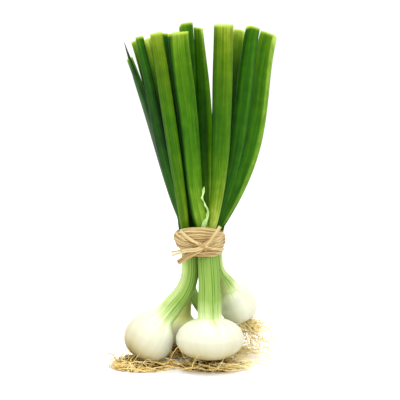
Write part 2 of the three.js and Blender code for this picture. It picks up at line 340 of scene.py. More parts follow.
# %% Floor
# White laminate, pressed smooth and left matte: it shows no pattern and no reflection, only the
# faint shadow round what stands on it.
white_laminate, tree = new_material("white_laminate")
plain = add(tree, "ShaderNodeBsdfPrincipled", {"Base Color": linear("ffffff"), "Roughness": 0.6})
add(tree, "ShaderNodeOutputMaterial", {"Surface": plain.outputs["BSDF"]})
FLOOR_REACH = 6.0  # metres from the middle to each side
floor_mesh = bpy.data.meshes.new("floor")
corner = np.array([[-1, -1], [1, -1], [1, 1], [-1, 1]]) * FLOOR_REACH
floor_mesh.from_pydata(np.c_[corner, np.zeros(4)].tolist(), [], [(0, 1, 2, 3)])
floor_mesh.materials.append(white_laminate)
floor = bpy.data.objects.new("floor", floor_mesh)
bpy.context.scene.collection.objects.link(floor)
print("floor is", 2 * FLOOR_REACH, "m wide")


# %% Lights
SKY_STRENGTH = 1.06
LAMPS = {
    # name: place and width in metres, power in watts
    "top_lamp": ((0.0, -0.3, 1.4), 0.8, 15),
    "left_lamp": ((-1.1, -0.9, 0.7), 0.6, 6),
    "right_lamp": ((1.2, -0.7, 0.8), 0.6, 6),
}


def lamp(name, place, size, watts):
    """A square soft lamp that looks at the tie."""
    light = bpy.data.lights.new(name, "AREA")
    light.size = size
    light.energy = watts
    obj = bpy.data.objects.new(name, light)
    obj.location = place
    towards = unit(tie - np.array(place))
    obj.rotation_euler = (np.arccos(-towards[2]), 0, np.arctan2(-towards[0], towards[1]))
    bpy.context.scene.collection.objects.link(obj)


world = bpy.data.worlds.new("studio")
world.use_nodes = True
sky = world.node_tree.nodes["Background"]
sky.inputs["Color"].default_value = (1, 1, 1, 1)
sky.inputs["Strength"].default_value = SKY_STRENGTH
bpy.context.scene.world = world
for name, (place, size, watts) in LAMPS.items():
    lamp(name, place, size, watts)
print("lamps:", ", ".join(LAMPS))


# %% [markdown]
# ## Onion skin
# A bulbing spring onion is wrapped in its own leaf bases. Round the bulb they are white and
# glossy, and up the neck they turn pale yellow-green and then green, with darker veins that run
# lengthwise. A pattern on plain object coordinates would cut straight through a bent stalk, so
# the skin reads four attributes instead. `grain` is a place on an unrolled stalk, and a noise
# stretched along it draws veins that spread out over the bulb. `rise` is 0 at the root plate, 1
# at the shoulder and 3 at the tie. `groove` deepens the veins in the grooves between two ribs,
# and `yellowed` says how much an old skin has turned yellow.
# Part of this colour is painted light and shade: the skin grows darker towards the root plate
# partly as painted shade, and a lit stalk side is painted paler.

# %% Onion skin material
# Fresh onion skin is moist and slightly clear: light goes a little way in and comes out warmer,
# which softens its shading, and its shine is broad and weak.
VEIN_SPACING = 1.1 * MM  # between two veins, round a stalk; coarser than real, so that they show
VEIN_LENGTH = 45 * MM  # over which a vein keeps its shade
LIGHT_DEPTH = 2.0 * MM  # that light goes into the skin

onion_skin, tree = new_material("onion_skin")
grain = add(tree, "ShaderNodeAttribute", attribute_name="grain").outputs["Vector"]
rise = add(tree, "ShaderNodeAttribute", attribute_name="rise").outputs["Fac"]
stretch = add(
    tree,
    "ShaderNodeVectorMath",
    {0: grain, 1: (1 / VEIN_SPACING, 1 / VEIN_SPACING, 1 / VEIN_LENGTH)},
    operation="MULTIPLY",
).outputs[0]
veins = add(
    tree, "ShaderNodeTexNoise", {"Vector": stretch, "Scale": 0.62, "Detail": 3.0, "Roughness": 0.6}
).outputs["Fac"]
broad = add(
    tree, "ShaderNodeTexNoise", {"Vector": stretch, "Scale": 0.17, "Detail": 2.0}
).outputs["Fac"]
streak = add(tree, "ShaderNodeMath", {0: broad, 1: 0.5}, operation="SUBTRACT").outputs[0]
streaky_rise = add(
    tree, "ShaderNodeMath", {0: streak, 1: 0.3, 2: rise}, operation="MULTIPLY_ADD"
).outputs[0]
level = add(
    tree, "ShaderNodeMapRange", {"Value": streaky_rise, "From Min": 0.0, "From Max": 4.0}
).outputs["Result"]
# The flesh and vein ramps grow darker and browner towards the root plate: partly the tan of the
# outer skins there, and partly painted shade of the bulb's underside.
flesh = add(
    tree,
    "ShaderNodeValToRGB",
    {"Fac": level},
    [
        (0.0, "75602f"),
        (0.025, "978b60"),
        (0.055, "b0a985"),
        (0.1, "bdbba3"),
        (0.17, "cacbb9"),
        (0.208, "dfe3d3"),
        (0.236, "cfdca9"),
        (0.27, "aebf7c"),
        (0.34, "849f4b"),
        (0.75, "73943a"),
    ],
).outputs["Color"]
vein = add(
    tree,
    "ShaderNodeValToRGB",
    {"Fac": level},
    [
        (0.0, "6f5a2b"),
        (0.025, "918458"),
        (0.055, "aca580"),
        (0.1, "bab79e"),
        (0.17, "c5c6b1"),
        (0.212, "cdd5ab"),
        (0.245, "a3ba70"),
        (0.3, "638a35"),
        (0.42, "4f792a"),
        (0.75, "456d22"),
    ],
).outputs["Color"]
groove = add(tree, "ShaderNodeAttribute", attribute_name="groove").outputs["Fac"]
lines = add(
    tree, "ShaderNodeMath", {0: groove, 1: 0.22, 2: veins}, operation="MULTIPLY_ADD"
).outputs[0]
vein_mask = add(
    tree, "ShaderNodeValToRGB", {"Fac": lines}, [(0.38, "000000"), (0.56, "ffffff")]
).outputs["Color"]
fresh_colour = add(
    tree, "ShaderNodeMixRGB", {"Fac": vein_mask, "Color1": flesh, "Color2": vein}
).outputs["Color"]
yellowed = add(tree, "ShaderNodeAttribute", attribute_name="yellowed").outputs["Fac"]
skin_colour = add(
    tree,
    "ShaderNodeMixRGB",
    {"Fac": yellowed, "Color1": fresh_colour, "Color2": linear("cfcd78")},
).outputs["Color"]
skin_bump = add(
    tree, "ShaderNodeBump", {"Height": veins, "Strength": 0.25, "Distance": 0.3 * MM}
).outputs["Normal"]
moist_skin = add(
    tree,
    "ShaderNodeBsdfPrincipled",
    {
        "Base Color": skin_colour,
        "Roughness": 0.36,
        "Specular IOR Level": 0.12,
        "Subsurface Weight": 0.12,
        "Subsurface Radius": (1.0, 0.9, 0.5),
        "Subsurface Scale": LIGHT_DEPTH,
        "Normal": skin_bump,
    },
)
add(tree, "ShaderNodeOutputMaterial", {"Surface": moist_skin.outputs["BSDF"]})
print("veins every", VEIN_SPACING / MM, "mm")


# %% [markdown]
# ## Bulbs with their stalks
# Each onion is one grown piece, so it is one surface. A sphere joined to a tube would show the
# joint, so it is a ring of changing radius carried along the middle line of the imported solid.
# Shallow ribs that fade in above the shoulder stand for the folded leaf bases. Some stalks widen
# inside the tie, where they part into their leaves.

# %% Middle lines of the onions
ONIONS = {
    # name: rings along, points round, rib count, how many times wider its top gets
    "front": (300, 224, 26, 1.3),
    "left": (240, 176, 22, 1.1),
    "right": (200, 144, 18, 1.1),
    "rear_left": (180, 128, 18, 1.1),
    "rear_right": (160, 112, 16, 1.0),
}
SHARP_NECK = {"front": 5, "right": 2.2}  # how sharply the neck meets the bulb
NUDGE = {"left": (2.6, 0.75), "right": (-3.8, 0.4)}  # mm that a neck bends right, from what rise
FLARE = {"right": 2.4}  # mm that a bulb is fuller just below its neck
PAINTED_LIT_SIDE = {"left": -1, "right": 0.9}  # painted light: a stalk painted paler on its lit left (-1) or right (1) side
PAINTED_LIGHT_END = {"right": 0.7}  # painted light: a bulb off the floor whose shaded underside is painted as pale as the skin at this rise
YELLOWED = {"rear_left": (0.7, 0.7), "right": (0.35, 0)}  # how yellow the left and right are

spines = {name: middle_line("onion_" + name) for name in ONIONS}
for name, (places, radii) in spines.items():
    print(name, "root at", places[0].round(4), "widest", radii.max().round(4), "cuts", len(places))


# %% The bulb's outline
ROOT_END = 2.5 * MM  # over which the root end rounds off
POLE = 0.002  # the first ring is never nearer to the root end than this share of ROOT_END


def rise_along(name, s):
    """0 at the root plate, 1 at the shoulder and 3 at the top, straight between them.

    The shoulder is twice as far from the root plate as the widest place of the bulb, which is
    looked for in the lower 60% of the onion.
    """
    places, radii = spines[name]
    lower = np.linspace(0, 1, len(places)) < 0.6
    shoulder = 2 * distances(places)[np.argmax(np.where(lower, radii, 0))]
    return np.where(s < shoulder, s / shoulder, 1 + 2 * (s - shoulder) / (s[-1] - shoulder))


def sharp_neck(s, radius, sharpness):
    """The radius with a sharper step from bulb to neck, where it is less than the measured one.

    Above the widest place it is (oval^n + neck^n)^(1/n), where n is the sharpness. The oval is
    the widest radius * sqrt(1 - share^2), which is 0.8 of it at a share of 0.6, so it is fitted
    where the measured bulb is down to 0.8. The neck is the measured radius from 1.35 half
    lengths of the oval upwards, and below that the same as there, inside the bulb.
    """
    widest = radius.max()
    middle = s[np.argmax(radius)]
    bulb_end = s[(s > middle) & (radius < 0.8 * widest)][0]
    half = (bulb_end - middle) / 0.6
    oval = widest * np.sqrt(np.clip(1 - ((s - middle) / half) ** 2, 1e-6, 1))
    neck = np.interp(np.maximum(s, middle + 1.35 * half), s, radius)
    sharp = (oval**sharpness + neck**sharpness) ** (1 / sharpness)
    return np.where(s > middle, np.minimum(sharp, radius), radius)


def outline(name, s, rise):
    """Radius at each s: measured and softened, with a sharper neck, a fuller shoulder, and a
    quarter circle, sqrt(x (2 - x)), that closes the root end."""
    places, radii = spines[name]
    run = distances(places)
    radius = soften(np.interp(s, run * s[-1] / run[-1], radii)[:, None], 4)[:, 0]
    if name in SHARP_NECK:
        radius = sharp_neck(s, radius, SHARP_NECK[name])
    fuller = ease(0.55, 0.85, rise) * (1 - ease(0.88, 1.5, rise))
    radius = radius + FLARE.get(name, 0) * MM * fuller
    near_end = np.clip(s / ROOT_END, POLE, 1)
    closing = np.sqrt(near_end * (2 - near_end))
    return radius * closing


print("root ends round off over", ROOT_END / MM, "mm")


# %% The onion surface
RIB_DEPTH = 0.04  # as a share of the radius
RIB_DRIFT = 30 * MM  # over which a rib wanders round the stalk
UNROLLED = 8 * MM  # radius of the stalk on which the grain is unrolled
WIDENING = 18 * MM  # over which the top of a stalk widens


def rib_wave(seed, ribs, s, angle):
    """A third of each of three waves, 2 |sin(n a / 2 + drift)|^0.7 - 1: round ribs, thin grooves.

    n is the rib count and two others near to it and to its double.
    """
    rng = np.random.default_rng(seed)
    wave = np.zeros((len(s), len(angle)))
    for count in (ribs, ribs + 7, 2 * ribs + 3):
        drift = rng.uniform(0, 6.28) + 0.5 * np.sin(s / RIB_DRIFT + rng.uniform(0, 6.28))
        wave += (2 * np.abs(np.sin((count * angle[None, :] + drift[:, None]) / 2)) ** 0.7 - 1) / 3
    return wave


def skin_layers(name, s, rise, wave, angle):
    """What the skin reads: grain, rise, groove and yellowed, at each point of the grid.

    The grain is 8 mm * (sin a, cos a), moved by the rib count so that no two onions match, and s.
    A side that faces the lamps is painted paler, as painted light, by holding rise back, at most to
    1.08 where the painted light is strongest; a painted light end lifts the rise of a shaded
    underside.
    """
    sine = np.sin(angle)
    moved = 0.01 * ONIONS[name][2]
    side = PAINTED_LIT_SIDE.get(name, 0)
    # painted light: the side of the stalk that faces the lamps is painted paler
    painted_light = ease(-0.3, 0.9, side * sine) * abs(side) * (1 - ease(2.2, 3.0, rise))[:, None]
    painted_light_cap = 1.08 + 0.3 * (1 - painted_light) + 2 * (1 - painted_light) ** 4
    # painted light: a shaded underside takes the paler colour of a higher rise
    lifted_rise = np.maximum(rise, PAINTED_LIGHT_END.get(name, 0))[:, None]
    at_left, at_right = YELLOWED.get(name, (0, 0))
    on_neck = (0.35 + 0.65 * ease(0.6, 1.0, rise)) * (1 - ease(1.4, 2.4, rise))
    yellowed = (at_left + (at_right - at_left) * ease(-1, 0.5, sine)) * on_neck[:, None]
    return {
        "grain": vectors(wave.shape, UNROLLED * sine + moved, UNROLLED * np.cos(angle), s[:, None]),
        "rise": np.minimum(lifted_rise - 0.1 * painted_light, painted_light_cap).ravel(),
        "yellowed": yellowed.ravel(),
        "groove": (-wave * ease(0.95, 1.3, rise)[:, None]).ravel(),
    }


def onion(name):
    """Ring r(s, a) carried along the middle line c(s).

    r = outline * (1 + depth * ribs), where the depth grows from 0 at the shoulder to 4% on the
    stalk. The neck is nudged sideways, and the very top is widened and flattened by as much.
    """
    rows, around, ribs, widen = ONIONS[name]
    line, length = spread(soften(spines[name][0], 3), rows)
    s = np.linspace(0, length, rows)
    rise = rise_along(name, s)
    nudge, bend_from = NUDGE.get(name, (0, 0))
    line[:, 0] += nudge * MM * ease(bend_from, 1.2, rise) * (1 - ease(1.5, 2.7, rise))
    angle = np.linspace(0, 2 * np.pi, around, endpoint=False)
    wave = rib_wave(len(name) + ribs, ribs, s, angle)
    depth = RIB_DEPTH * ease(0.95, 1.35, rise)
    ring = outline(name, s, rise)[:, None] * (1 + depth[:, None] * wave)
    wider = 1 + (widen - 1) * ease(length - WIDENING, length, s)[:, None]
    _, out, across = along(line, (0, -1, 0))
    points = carried(
        line, ring * wider * np.sin(angle), ring * (1 / wider) * np.cos(angle), across, out
    )
    layers = skin_layers(name, s, rise, wave, angle)
    faces, node = tube_faces(rows, around), "onion_" + name
    piece(
        node + "_skin", points.reshape(-1, 3), faces, layers, onion_skin, [node]
    )


for name in ONIONS:
    onion(name)


# %% [markdown]
# ## Leaf skin
# Spring onion leaves are long flattened tubes with a waxy, finely veined skin. Old outer leaves
# are yellowish olive, young ones deep green, and each is paler where it leaves the stalk. The
# cut end dries to a pale yellow-green rim. One colour for all would make the leaves run into
# each other, so each leaf carries numbers of its own: `tone`, from 0, deep, to 1, pale; `aged`,
# from 0, grass green, to 1, olive; and `rim`, which is near 1 at the cut. `grain` is a place on
# the unrolled leaf, for the veins.
# Part of `tone` is painted light and shade: lower on the leaves behind and on shaded edges as
# painted shade, higher on lit edges as painted light.

# %% Leaf skin material
# Fresh green leaf with a thin coat of wax: a weak, broad shine over fine lengthwise veins, and
# faint paler and darker patches where the wax is rubbed.
LEAF_VEIN = 0.9 * MM  # between two veins; coarser than real, so that they show
MOTTLE = 8 * MM  # size of the paler and darker patches

leaf_skin, tree = new_material("leaf_skin")
grain = add(tree, "ShaderNodeAttribute", attribute_name="grain").outputs["Vector"]
tone = add(tree, "ShaderNodeAttribute", attribute_name="tone").outputs["Fac"]
rim = add(tree, "ShaderNodeAttribute", attribute_name="rim").outputs["Fac"]
stretch = add(
    tree,
    "ShaderNodeVectorMath",
    {0: grain, 1: (1 / LEAF_VEIN, 1 / LEAF_VEIN, 1 / (50 * LEAF_VEIN))},
    operation="MULTIPLY",
).outputs[0]
fine = add(
    tree, "ShaderNodeTexNoise", {"Vector": stretch, "Scale": 0.8, "Detail": 3.0, "Roughness": 0.6}
).outputs["Fac"]
wide = add(
    tree, "ShaderNodeTexNoise", {"Vector": stretch, "Scale": 0.2, "Detail": 2.0}
).outputs["Fac"]
place = add(tree, "ShaderNodeTexCoord").outputs["Object"]
mottle = add(
    tree, "ShaderNodeTexNoise", {"Vector": place, "Scale": 1 / MOTTLE, "Detail": 4.0}
).outputs["Fac"]
blend = add(
    tree, "ShaderNodeMath", {0: mottle, 1: 0.7, 2: wide}, operation="MULTIPLY_ADD"
).outputs[0]
uneven = add(tree, "ShaderNodeMath", {0: blend, 1: 0.85}, operation="SUBTRACT").outputs[0]
mixed_tone = add(
    tree, "ShaderNodeMath", {0: uneven, 1: 0.45, 2: tone}, operation="MULTIPLY_ADD", use_clamp=True
).outputs[0]
grass = add(
    tree,
    "ShaderNodeValToRGB",
    {"Fac": mixed_tone},
    [
        (0.0, "0b2801"),
        (0.2, "174402"),
        (0.4, "285a02"),
        (0.6, "3f6f06"),
        (0.75, "5a8418"),
        (0.9, "7da236"),
        (1.0, "a6c455"),
    ],
).outputs["Color"]
olive = add(
    tree,
    "ShaderNodeValToRGB",
    {"Fac": mixed_tone},
    [
        (0.0, "162c01"),
        (0.2, "284702"),
        (0.4, "3f5f03"),
        (0.6, "5a740b"),
        (0.75, "74881d"),
        (0.9, "94a53a"),
        (1.0, "b4c45c"),
    ],
).outputs["Color"]
aged = add(tree, "ShaderNodeAttribute", attribute_name="aged").outputs["Fac"]
green = add(
    tree, "ShaderNodeMixRGB", {"Fac": aged, "Color1": grass, "Color2": olive}
).outputs["Color"]
line_mask = add(
    tree, "ShaderNodeValToRGB", {"Fac": fine}, [(0.4, "d4d4d4"), (0.62, "ffffff")]
).outputs["Color"]
veined = add(
    tree,
    "ShaderNodeMixRGB",
    {"Fac": 0.8, "Color1": green, "Color2": line_mask},
    blend_type="MULTIPLY",
).outputs["Color"]
leaf_colour = add(
    tree, "ShaderNodeMixRGB", {"Fac": rim, "Color1": veined, "Color2": linear("a9c244")}
).outputs["Color"]
leaf_bump = add(
    tree, "ShaderNodeBump", {"Height": fine, "Strength": 0.2, "Distance": 0.2 * MM}
).outputs["Normal"]
waxy_leaf = add(
    tree,
    "ShaderNodeBsdfPrincipled",
    {
        "Base Color": leaf_colour,
        "Roughness": 0.38,
        "Specular IOR Level": 0.06,
        "Normal": leaf_bump,
    },
)
add(tree, "ShaderNodeOutputMaterial", {"Surface": waxy_leaf.outputs["BSDF"]})
print("leaf veins every", LEAF_VEIN / MM, "mm")

# %% [markdown]
# ## Leaves
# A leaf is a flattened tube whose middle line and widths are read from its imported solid. Its
# section is rounder on the side that looks outwards, and some have a keel. The tube is hollow at
# its cut end. A Solidify modifier would make the wall just as thick at the pressed edges, so the
# surface itself runs up the outside, over the cut rim and down inside, and closes there.

# %% Colour, keel and cut end of each leaf
LEAVES = {
    # imported node: tone at foot, middle and tip, low on the leaves behind partly as painted shade;
    # how olive; tone added at the left and at the right edge, painted shade below 0 and painted
    # light above 0, and where the right edge begins across the leaf; keel; slant of the cut end
    # and rounding of its left and right corner in mm; how many times wider the left and the
    # right half are in the middle of the leaf
    "leaf_front_right": (0.86, 0.46, 0.88, 0.9, -0.25, 0.0, 0.4, 0, 0, 0.3, 0, 1.03, 1.03),
    "leaf_front_left": (0.84, 0.52, 0.84, 0.25, -0.85, -0.05, 0.4, 0.1, 0.5, 1.4, 0, 1.03, 1.03),
    "leaf_front_inner": (0.86, 0.2, 0.62, 0.3, -0.1, 0.4, 0.35, 0.3, -0.5, 0, 0.5, 1, 2.2),
    "leaf_left_front": (0.6, 0.46, 0.86, 0.9, -0.05, 0.0, 0.4, 0, 0.3, 0.4, 0.4, 1.02, 1.02),
    "leaf_left_middle": (0.35, 0.12, 0.5, 0, 0.05, -0.1, 0.4, 0.2, 0.2, 0.6, 0.6, 1.6, 1.1),
    "leaf_left_pointed": (0.3, 0.15, 0.25, 0, 0.1, -0.1, 0.4, 0.3, 0, 0, 0, 1.5, 1.8),
    "leaf_right_outer": (0.36, 0.36, 0.62, 0.2, 0.05, 0.34, 0.0, 0.8, -0.6, 0.3, 2.2, 1.5, 1.06),
    "leaf_right_middle": (0.26, 0.36, 0.5, 0, -0.15, -0.2, 0.5, 0.1, -0.3, 2.4, 0.5, 1.14, 1.3),
    # painted shade: the leaves from here on stand behind the others, and their low tones are partly
    # painted shade
    "leaf_right_rear": (0.3, 0.2, 0.98, 0.7, 0, 0, 0.4, 0.2, 0, 0, 1, 1.3, 1.7),
    "leaf_rear_left_front": (0.2, 0.42, 0.68, 0, 0.1, -0.1, 0.4, 0, 0.3, 3, 0.4, 1.03, 1.03),
    "leaf_rear_left_middle": (0.1, 0.06, 0.3, 0, 0, 0, 0.4, 0, -1, 0, 0.5, 1.1, 1.1),
    "leaf_rear_left_rear": (0.1, 0.2, 0.5, 0, 0, 0, 0.4, 0.1, 0.5, 0.5, 0, 1, 1.1),
    "leaf_rear_right_front": (0.2, 0.3, 0.96, 0.7, 0, 0, 0.4, 0, 0.6, 0.3, 0.6, 1.05, 1.05),
    "leaf_rear_right_outer": (0.45, 0.4, 0.84, 0.3, 0, 0.1, 0.4, 0.2, 0.8, 0, 0.5, 1.1, 1.5),
    "leaf_rear_right_rear": (0.3, 0.25, 0.8, 0.3, 0, 0, 0.4, 0, 0.4, 0.5, 0, 1.05, 1.2),
}
POINTED = "leaf_left_pointed"
POINT_LENGTH = 30 * MM  # over which it narrows
FOOT_SHIFT = {
    # mm that a leaf's foot lies to the side of its stalk's middle
    "leaf_left_front": -2.4,
    "leaf_front_left": -0.4,
    "leaf_front_right": 1.4,
}
FOOT_WIDTH = {"leaf_left_front": 0.84, "leaf_front_left": 1.0}  # as a share of the leaf's
USUAL_FOOT, REAR_FOOT = 0.76, 2.0  # the same share for the other leaves, at the front and rear
WIDER = {
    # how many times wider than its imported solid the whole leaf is
    "leaf_right_outer": 1.14,
    "leaf_right_rear": 1.14,
    "leaf_left_middle": 1.12,
    "leaf_rear_right_rear": 1.2,
    "leaf_rear_right_outer": 1.15,
    "leaf_rear_right_front": 1.22,
    "leaf_left_pointed": 1.5,
}
LEAF_ROWS = 150
LEAF_AROUND = 64
LEVELS = 24  # cuts that measure a leaf
CLEAR = 14 * MM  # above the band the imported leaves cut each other, and at the top they slant


def leaf_measure(node):
    """Middle line, half width, half thickness and width direction, from level cuts.

    The width direction is the long axis of the cut outline (its first principal axis). Cuts
    start above the tie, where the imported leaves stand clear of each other.
    """
    solid = triangles(node)
    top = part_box(node)[1][2]
    up = np.array([0, 0, 1.0])
    levels = np.linspace(band_high[2] + CLEAR, top - CLEAR, LEVELS)
    centres, wide, thin, sides = [], [], [], []
    for z in levels:
        corners = cut(solid, up * z, up).reshape(-1, 3)
        centre = (corners.max(0) + corners.min(0)) / 2
        _, _, axes = np.linalg.svd(corners[:, :2] - corners[:, :2].mean(0), full_matrices=False)
        side = axes[0] * np.sign(axes[0][0])
        reach = (corners[:, :2] - centre[:2]) @ np.array([side, [-side[1], side[0]]]).T
        wide.append(np.ptp(reach[:, 0]) / 2)
        thin.append(np.ptp(reach[:, 1]) / 2)
        centres.append(centre)
        sides.append(side)
    return levels, np.array(centres), np.array(wide), np.array(thin), np.median(sides, 0), top


measured = {node: leaf_measure(node) for node in LEAVES}
for node, (_, _, wide, thin, _, _) in measured.items():
    print(node, "width", round(2 * np.median(wide), 4), "thick", round(2 * np.median(thin), 4))


# %% The leaf's middle line
FOOT_HEIGHT = 2 * MM  # above the tie's middle, where a leaf begins
SECOND_PLACE = 6 * MM, 0.22  # above the foot, and as a share of the way to the measured leaf
BELOW_TOP = 0.4 * MM  # the slant of the cut makes up for it
FOOT_REACH, REAR_FOOT_REACH = 6 * MM, 20 * MM  # above the first cut, where the foot ends


def leaf_line(node):
    """A leaf's middle line from the tie up, its length, half widths and half thicknesses.

    A quartic in height is fitted to the measured centres and to two places near the stalk's
    middle inside the tie, which count for more, so the leaf runs on down into its stalk.
    """
    levels, centres, wide, thin, _, top = measured[node]
    owner = max((name for name in ONIONS if node.startswith("leaf_" + name)), key=len)
    stalk = spines[owner][0]
    root = stalk[np.argmin(np.abs(stalk[:, 2] - (tie[2] + FOOT_HEIGHT)))]
    root = root + np.array([FOOT_SHIFT.get(node, 0), 0, 0]) * MM
    height, share = SECOND_PLACE
    knots = np.r_[root[2], root[2] + height, levels]
    places = np.vstack([root, root + (centres[0] - root) * share, centres])
    weight = np.r_[6, 4, np.ones(len(levels))]
    z = np.linspace(root[2], top - BELOW_TOP, LEAF_ROWS)
    fits = [np.polyval(np.polyfit(knots, places[:, k], 4, w=weight), z) for k in (0, 1)]
    line, length = spread(np.stack([*fits, z], 1), LEAF_ROWS)
    rear = "_rear" in node
    full_from = levels[0] + (REAR_FOOT_REACH if rear else FOOT_REACH)
    foot = ease(root[2], full_from, line[:, 2])
    narrow = REAR_FOOT if rear else FOOT_WIDTH.get(node, USUAL_FOOT)
    w = np.interp(line[:, 2], levels, wide) * (narrow + (1 - narrow) * foot) * WIDER.get(node, 1)
    t = np.interp(line[:, 2], levels, thin) * (0.9 + 0.1 * foot)
    w, t = soften(np.c_[w, t], 6).T
    return line, length, w, t


print("the front left leaf is", round(leaf_line("leaf_front_left")[1], 4), "m long")


# %% The leaf's section and colour
RIPPLES = ((3, 0.03), (5, 0.02), (9, 0.012), (14, 0.008))  # waves round a leaf, and their height
RIPPLE_LENGTH = 45 * MM  # over which they wander
CORNER_FROM = 0.35  # how far across the leaf its cut corners begin to round off
CORNER_FULL = 0.42  # the square of how far it is from there to the edge, 1
RIM_WIDTH = 1.3 * MM


def section(cos, sin, keel):
    """How far the outline stands out from the middle, as a share of the half thickness.

    It blends a rounded D, |sin a|^0.9 and 0.7 of that behind, with a ridge by the keel. The
    ridge falls in straight lines from its top at cos a = 0.25 and rounds off at the edges.
    """
    round_side = np.where(sin > 0, 1.0, 0.7) * np.abs(sin) ** 0.9 * np.sign(sin)
    ridge = np.where(sin > 0, 1 - np.abs(cos - 0.25) * 0.85, 0.7 * sin)
    ridge = np.where(np.abs(cos) > 0.92, ridge * np.abs(sin) / 0.4, ridge)
    return (1 - keel) * round_side + keel * ridge


def ripples(seed, s, angle):
    """A sum of cosines round the leaf, height * cos(n a + p + q sin(s / 45 mm + r))."""
    draws = np.random.default_rng(seed).uniform(0, 3, (3, len(RIPPLES)))
    return sum(
        height * np.cos(n * angle[None, :] + p + q * np.sin(s[:, None] / RIPPLE_LENGTH + r))
        for (n, height), p, q, r in zip(RIPPLES, *draws)
    )


def leaf_tone(node, share, cos):
    """Tone along the leaf, from straight lines between six marks, plus the painted shade and
    painted light that each edge adds.
    """
    foot, middle, tip, _, at_left, at_right, begins, *_ = LEAVES[node]
    marks = (0.08, 0.3, 0.5, 0.8, 0.94, 1)
    before, after, near_tip = 0.6 * middle + 0.4 * foot, middle + 0.06, 0.5 * middle + 0.5 * tip
    tone = np.interp(share, marks, (foot, before, middle, after, near_tip, tip))[:, None]
    # painted shade (below 0) and painted light (above 0), at the right edge and then at the left
    tone = tone + at_right * ease(begins, begins + 0.3, cos)
    return tone + at_left * ease(0.35, 1, -cos)


print("in front a leaf stands out by", section(0.0, 1.0, 0.0))
print("and behind by", section(0.0, -1.0, 0.0))


# %% The leaf surface
HOLLOW_DEPTH = 45 * MM
WALL = 0.8 * MM
INNER_STEP = 3  # the inner wall has one ring for each three of the outer one
SLANT_REACH = 18 * MM  # over which the rings turn to the slant of the cut
POINT_END = 0.02  # the point's last ring, before the taper's power of 0.8
FULLNESS = 1.1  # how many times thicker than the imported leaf


def leaf(node):
    """Flattened tube p(s, a) = c(s) + w(s) cos a across + t(s) f(a) out, and its inner wall.

    f(a) is the section. Each half is fuller in the middle by a half sine wave along the leaf.
    Near the cut, s is shifted by the slant and by the rounding of each corner, all functions
    of cos a. The pointed leaf has no inner wall, and its width and thickness shrink to a tip.
    """
    old, (keel, slant, left, right, fuller_left, fuller_right) = LEAVES[node][3], LEAVES[node][7:]
    line, length, w, t = leaf_line(node)
    s = np.linspace(0, length, LEAF_ROWS)
    side = measured[node][4]
    tangent, out, across = along(line, np.array([side[1], -side[0], 0]))
    inside = int(LEAF_ROWS * HOLLOW_DEPTH / length)
    down = np.arange(LEAF_ROWS - 1, LEAF_ROWS - 1 - inside, -INNER_STEP)
    rows = np.r_[np.arange(LEAF_ROWS), down]
    inner = (np.arange(len(rows)) >= LEAF_ROWS).astype(float)
    if node == POINTED:
        rows, inner = rows[:LEAF_ROWS], inner[:LEAF_ROWS]
        taper = np.clip((length - s) / POINT_LENGTH, POINT_END, 1) ** 0.8
        point_from = length - POINT_LENGTH
        w = np.where(s > point_from, np.interp(point_from, s, w), w) * taper
        t = t * taper
    s, w, t = s[rows], w[rows], t[rows]
    wall = np.minimum(WALL, 0.35 * t) * inner
    angle = np.linspace(2 * np.pi, 0, LEAF_AROUND, endpoint=False)
    cos, sin = np.cos(angle), np.sin(angle)
    ripple = ripples(sum(map(ord, node)), s, angle)
    fuller = np.where(cos < 0, fuller_left - 1, fuller_right - 1)
    fuller = 1 + fuller * np.sin(np.pi * np.clip(s / length, 0, 1) ** 0.8)[:, None]
    width = (w - wall)[:, None] * cos * fuller * (1 + 0.3 * ripple)
    height = (t - wall)[:, None] * section(cos, sin, keel) * (1 + ripple) * FULLNESS
    corner_left = -left * np.clip(-cos - CORNER_FROM, 0, 1) ** 2 / CORNER_FULL
    corner_right = -right * np.clip(cos - CORNER_FROM, 0, 1) ** 2 / CORNER_FULL
    shift = (slant * cos + corner_left + corner_right) * MM
    near_cut = ease(length - SLANT_REACH, length, s)
    points = carried(line[rows], width, height, across[rows], out[rows])
    points = points + (near_cut[:, None] * shift)[..., None] * tangent[rows, None]
    rim = np.exp(-(((length - s) / RIM_WIDTH) ** 2)) * 0.9
    rim = np.maximum(rim, 0.6 * inner) * (node != POINTED)
    tone = leaf_tone(node, s / length, cos)
    aged = old * np.interp(s / length, (0.1, 0.35, 0.6, 0.85, 1), (0.8, 0.3, 0.2, 0.8, 1))
    layers = {
        "grain": vectors(
            width.shape, w[:, None] * cos + tone.mean(), w[:, None] * sin, s[:, None]
        ),
        "rim": np.repeat(rim, LEAF_AROUND),
        "tone": tone.ravel(),
        "aged": np.repeat(aged, LEAF_AROUND),
    }
    faces = tube_faces(len(rows), LEAF_AROUND)
    piece(node + "_skin", points.reshape(-1, 3), faces, layers, leaf_skin, [node])


for node in LEAVES:
    leaf(node)


# %% [markdown]
# ## Torn sheath
# Where the two broad front leaves part, the thin clear skin that joined them has torn. What is
# left is a narrow pale strip that zigzags up along the edge of the left one. A flat sheet would
# have no volume, so it is a very flat tube through a few places, laid on the leaf's front.

# %% Sheath material
# Leaf skin that has dried thin: pale, slightly green, almost without shine.
MILKY_PATCH = 5 * MM  # size of its paler patches

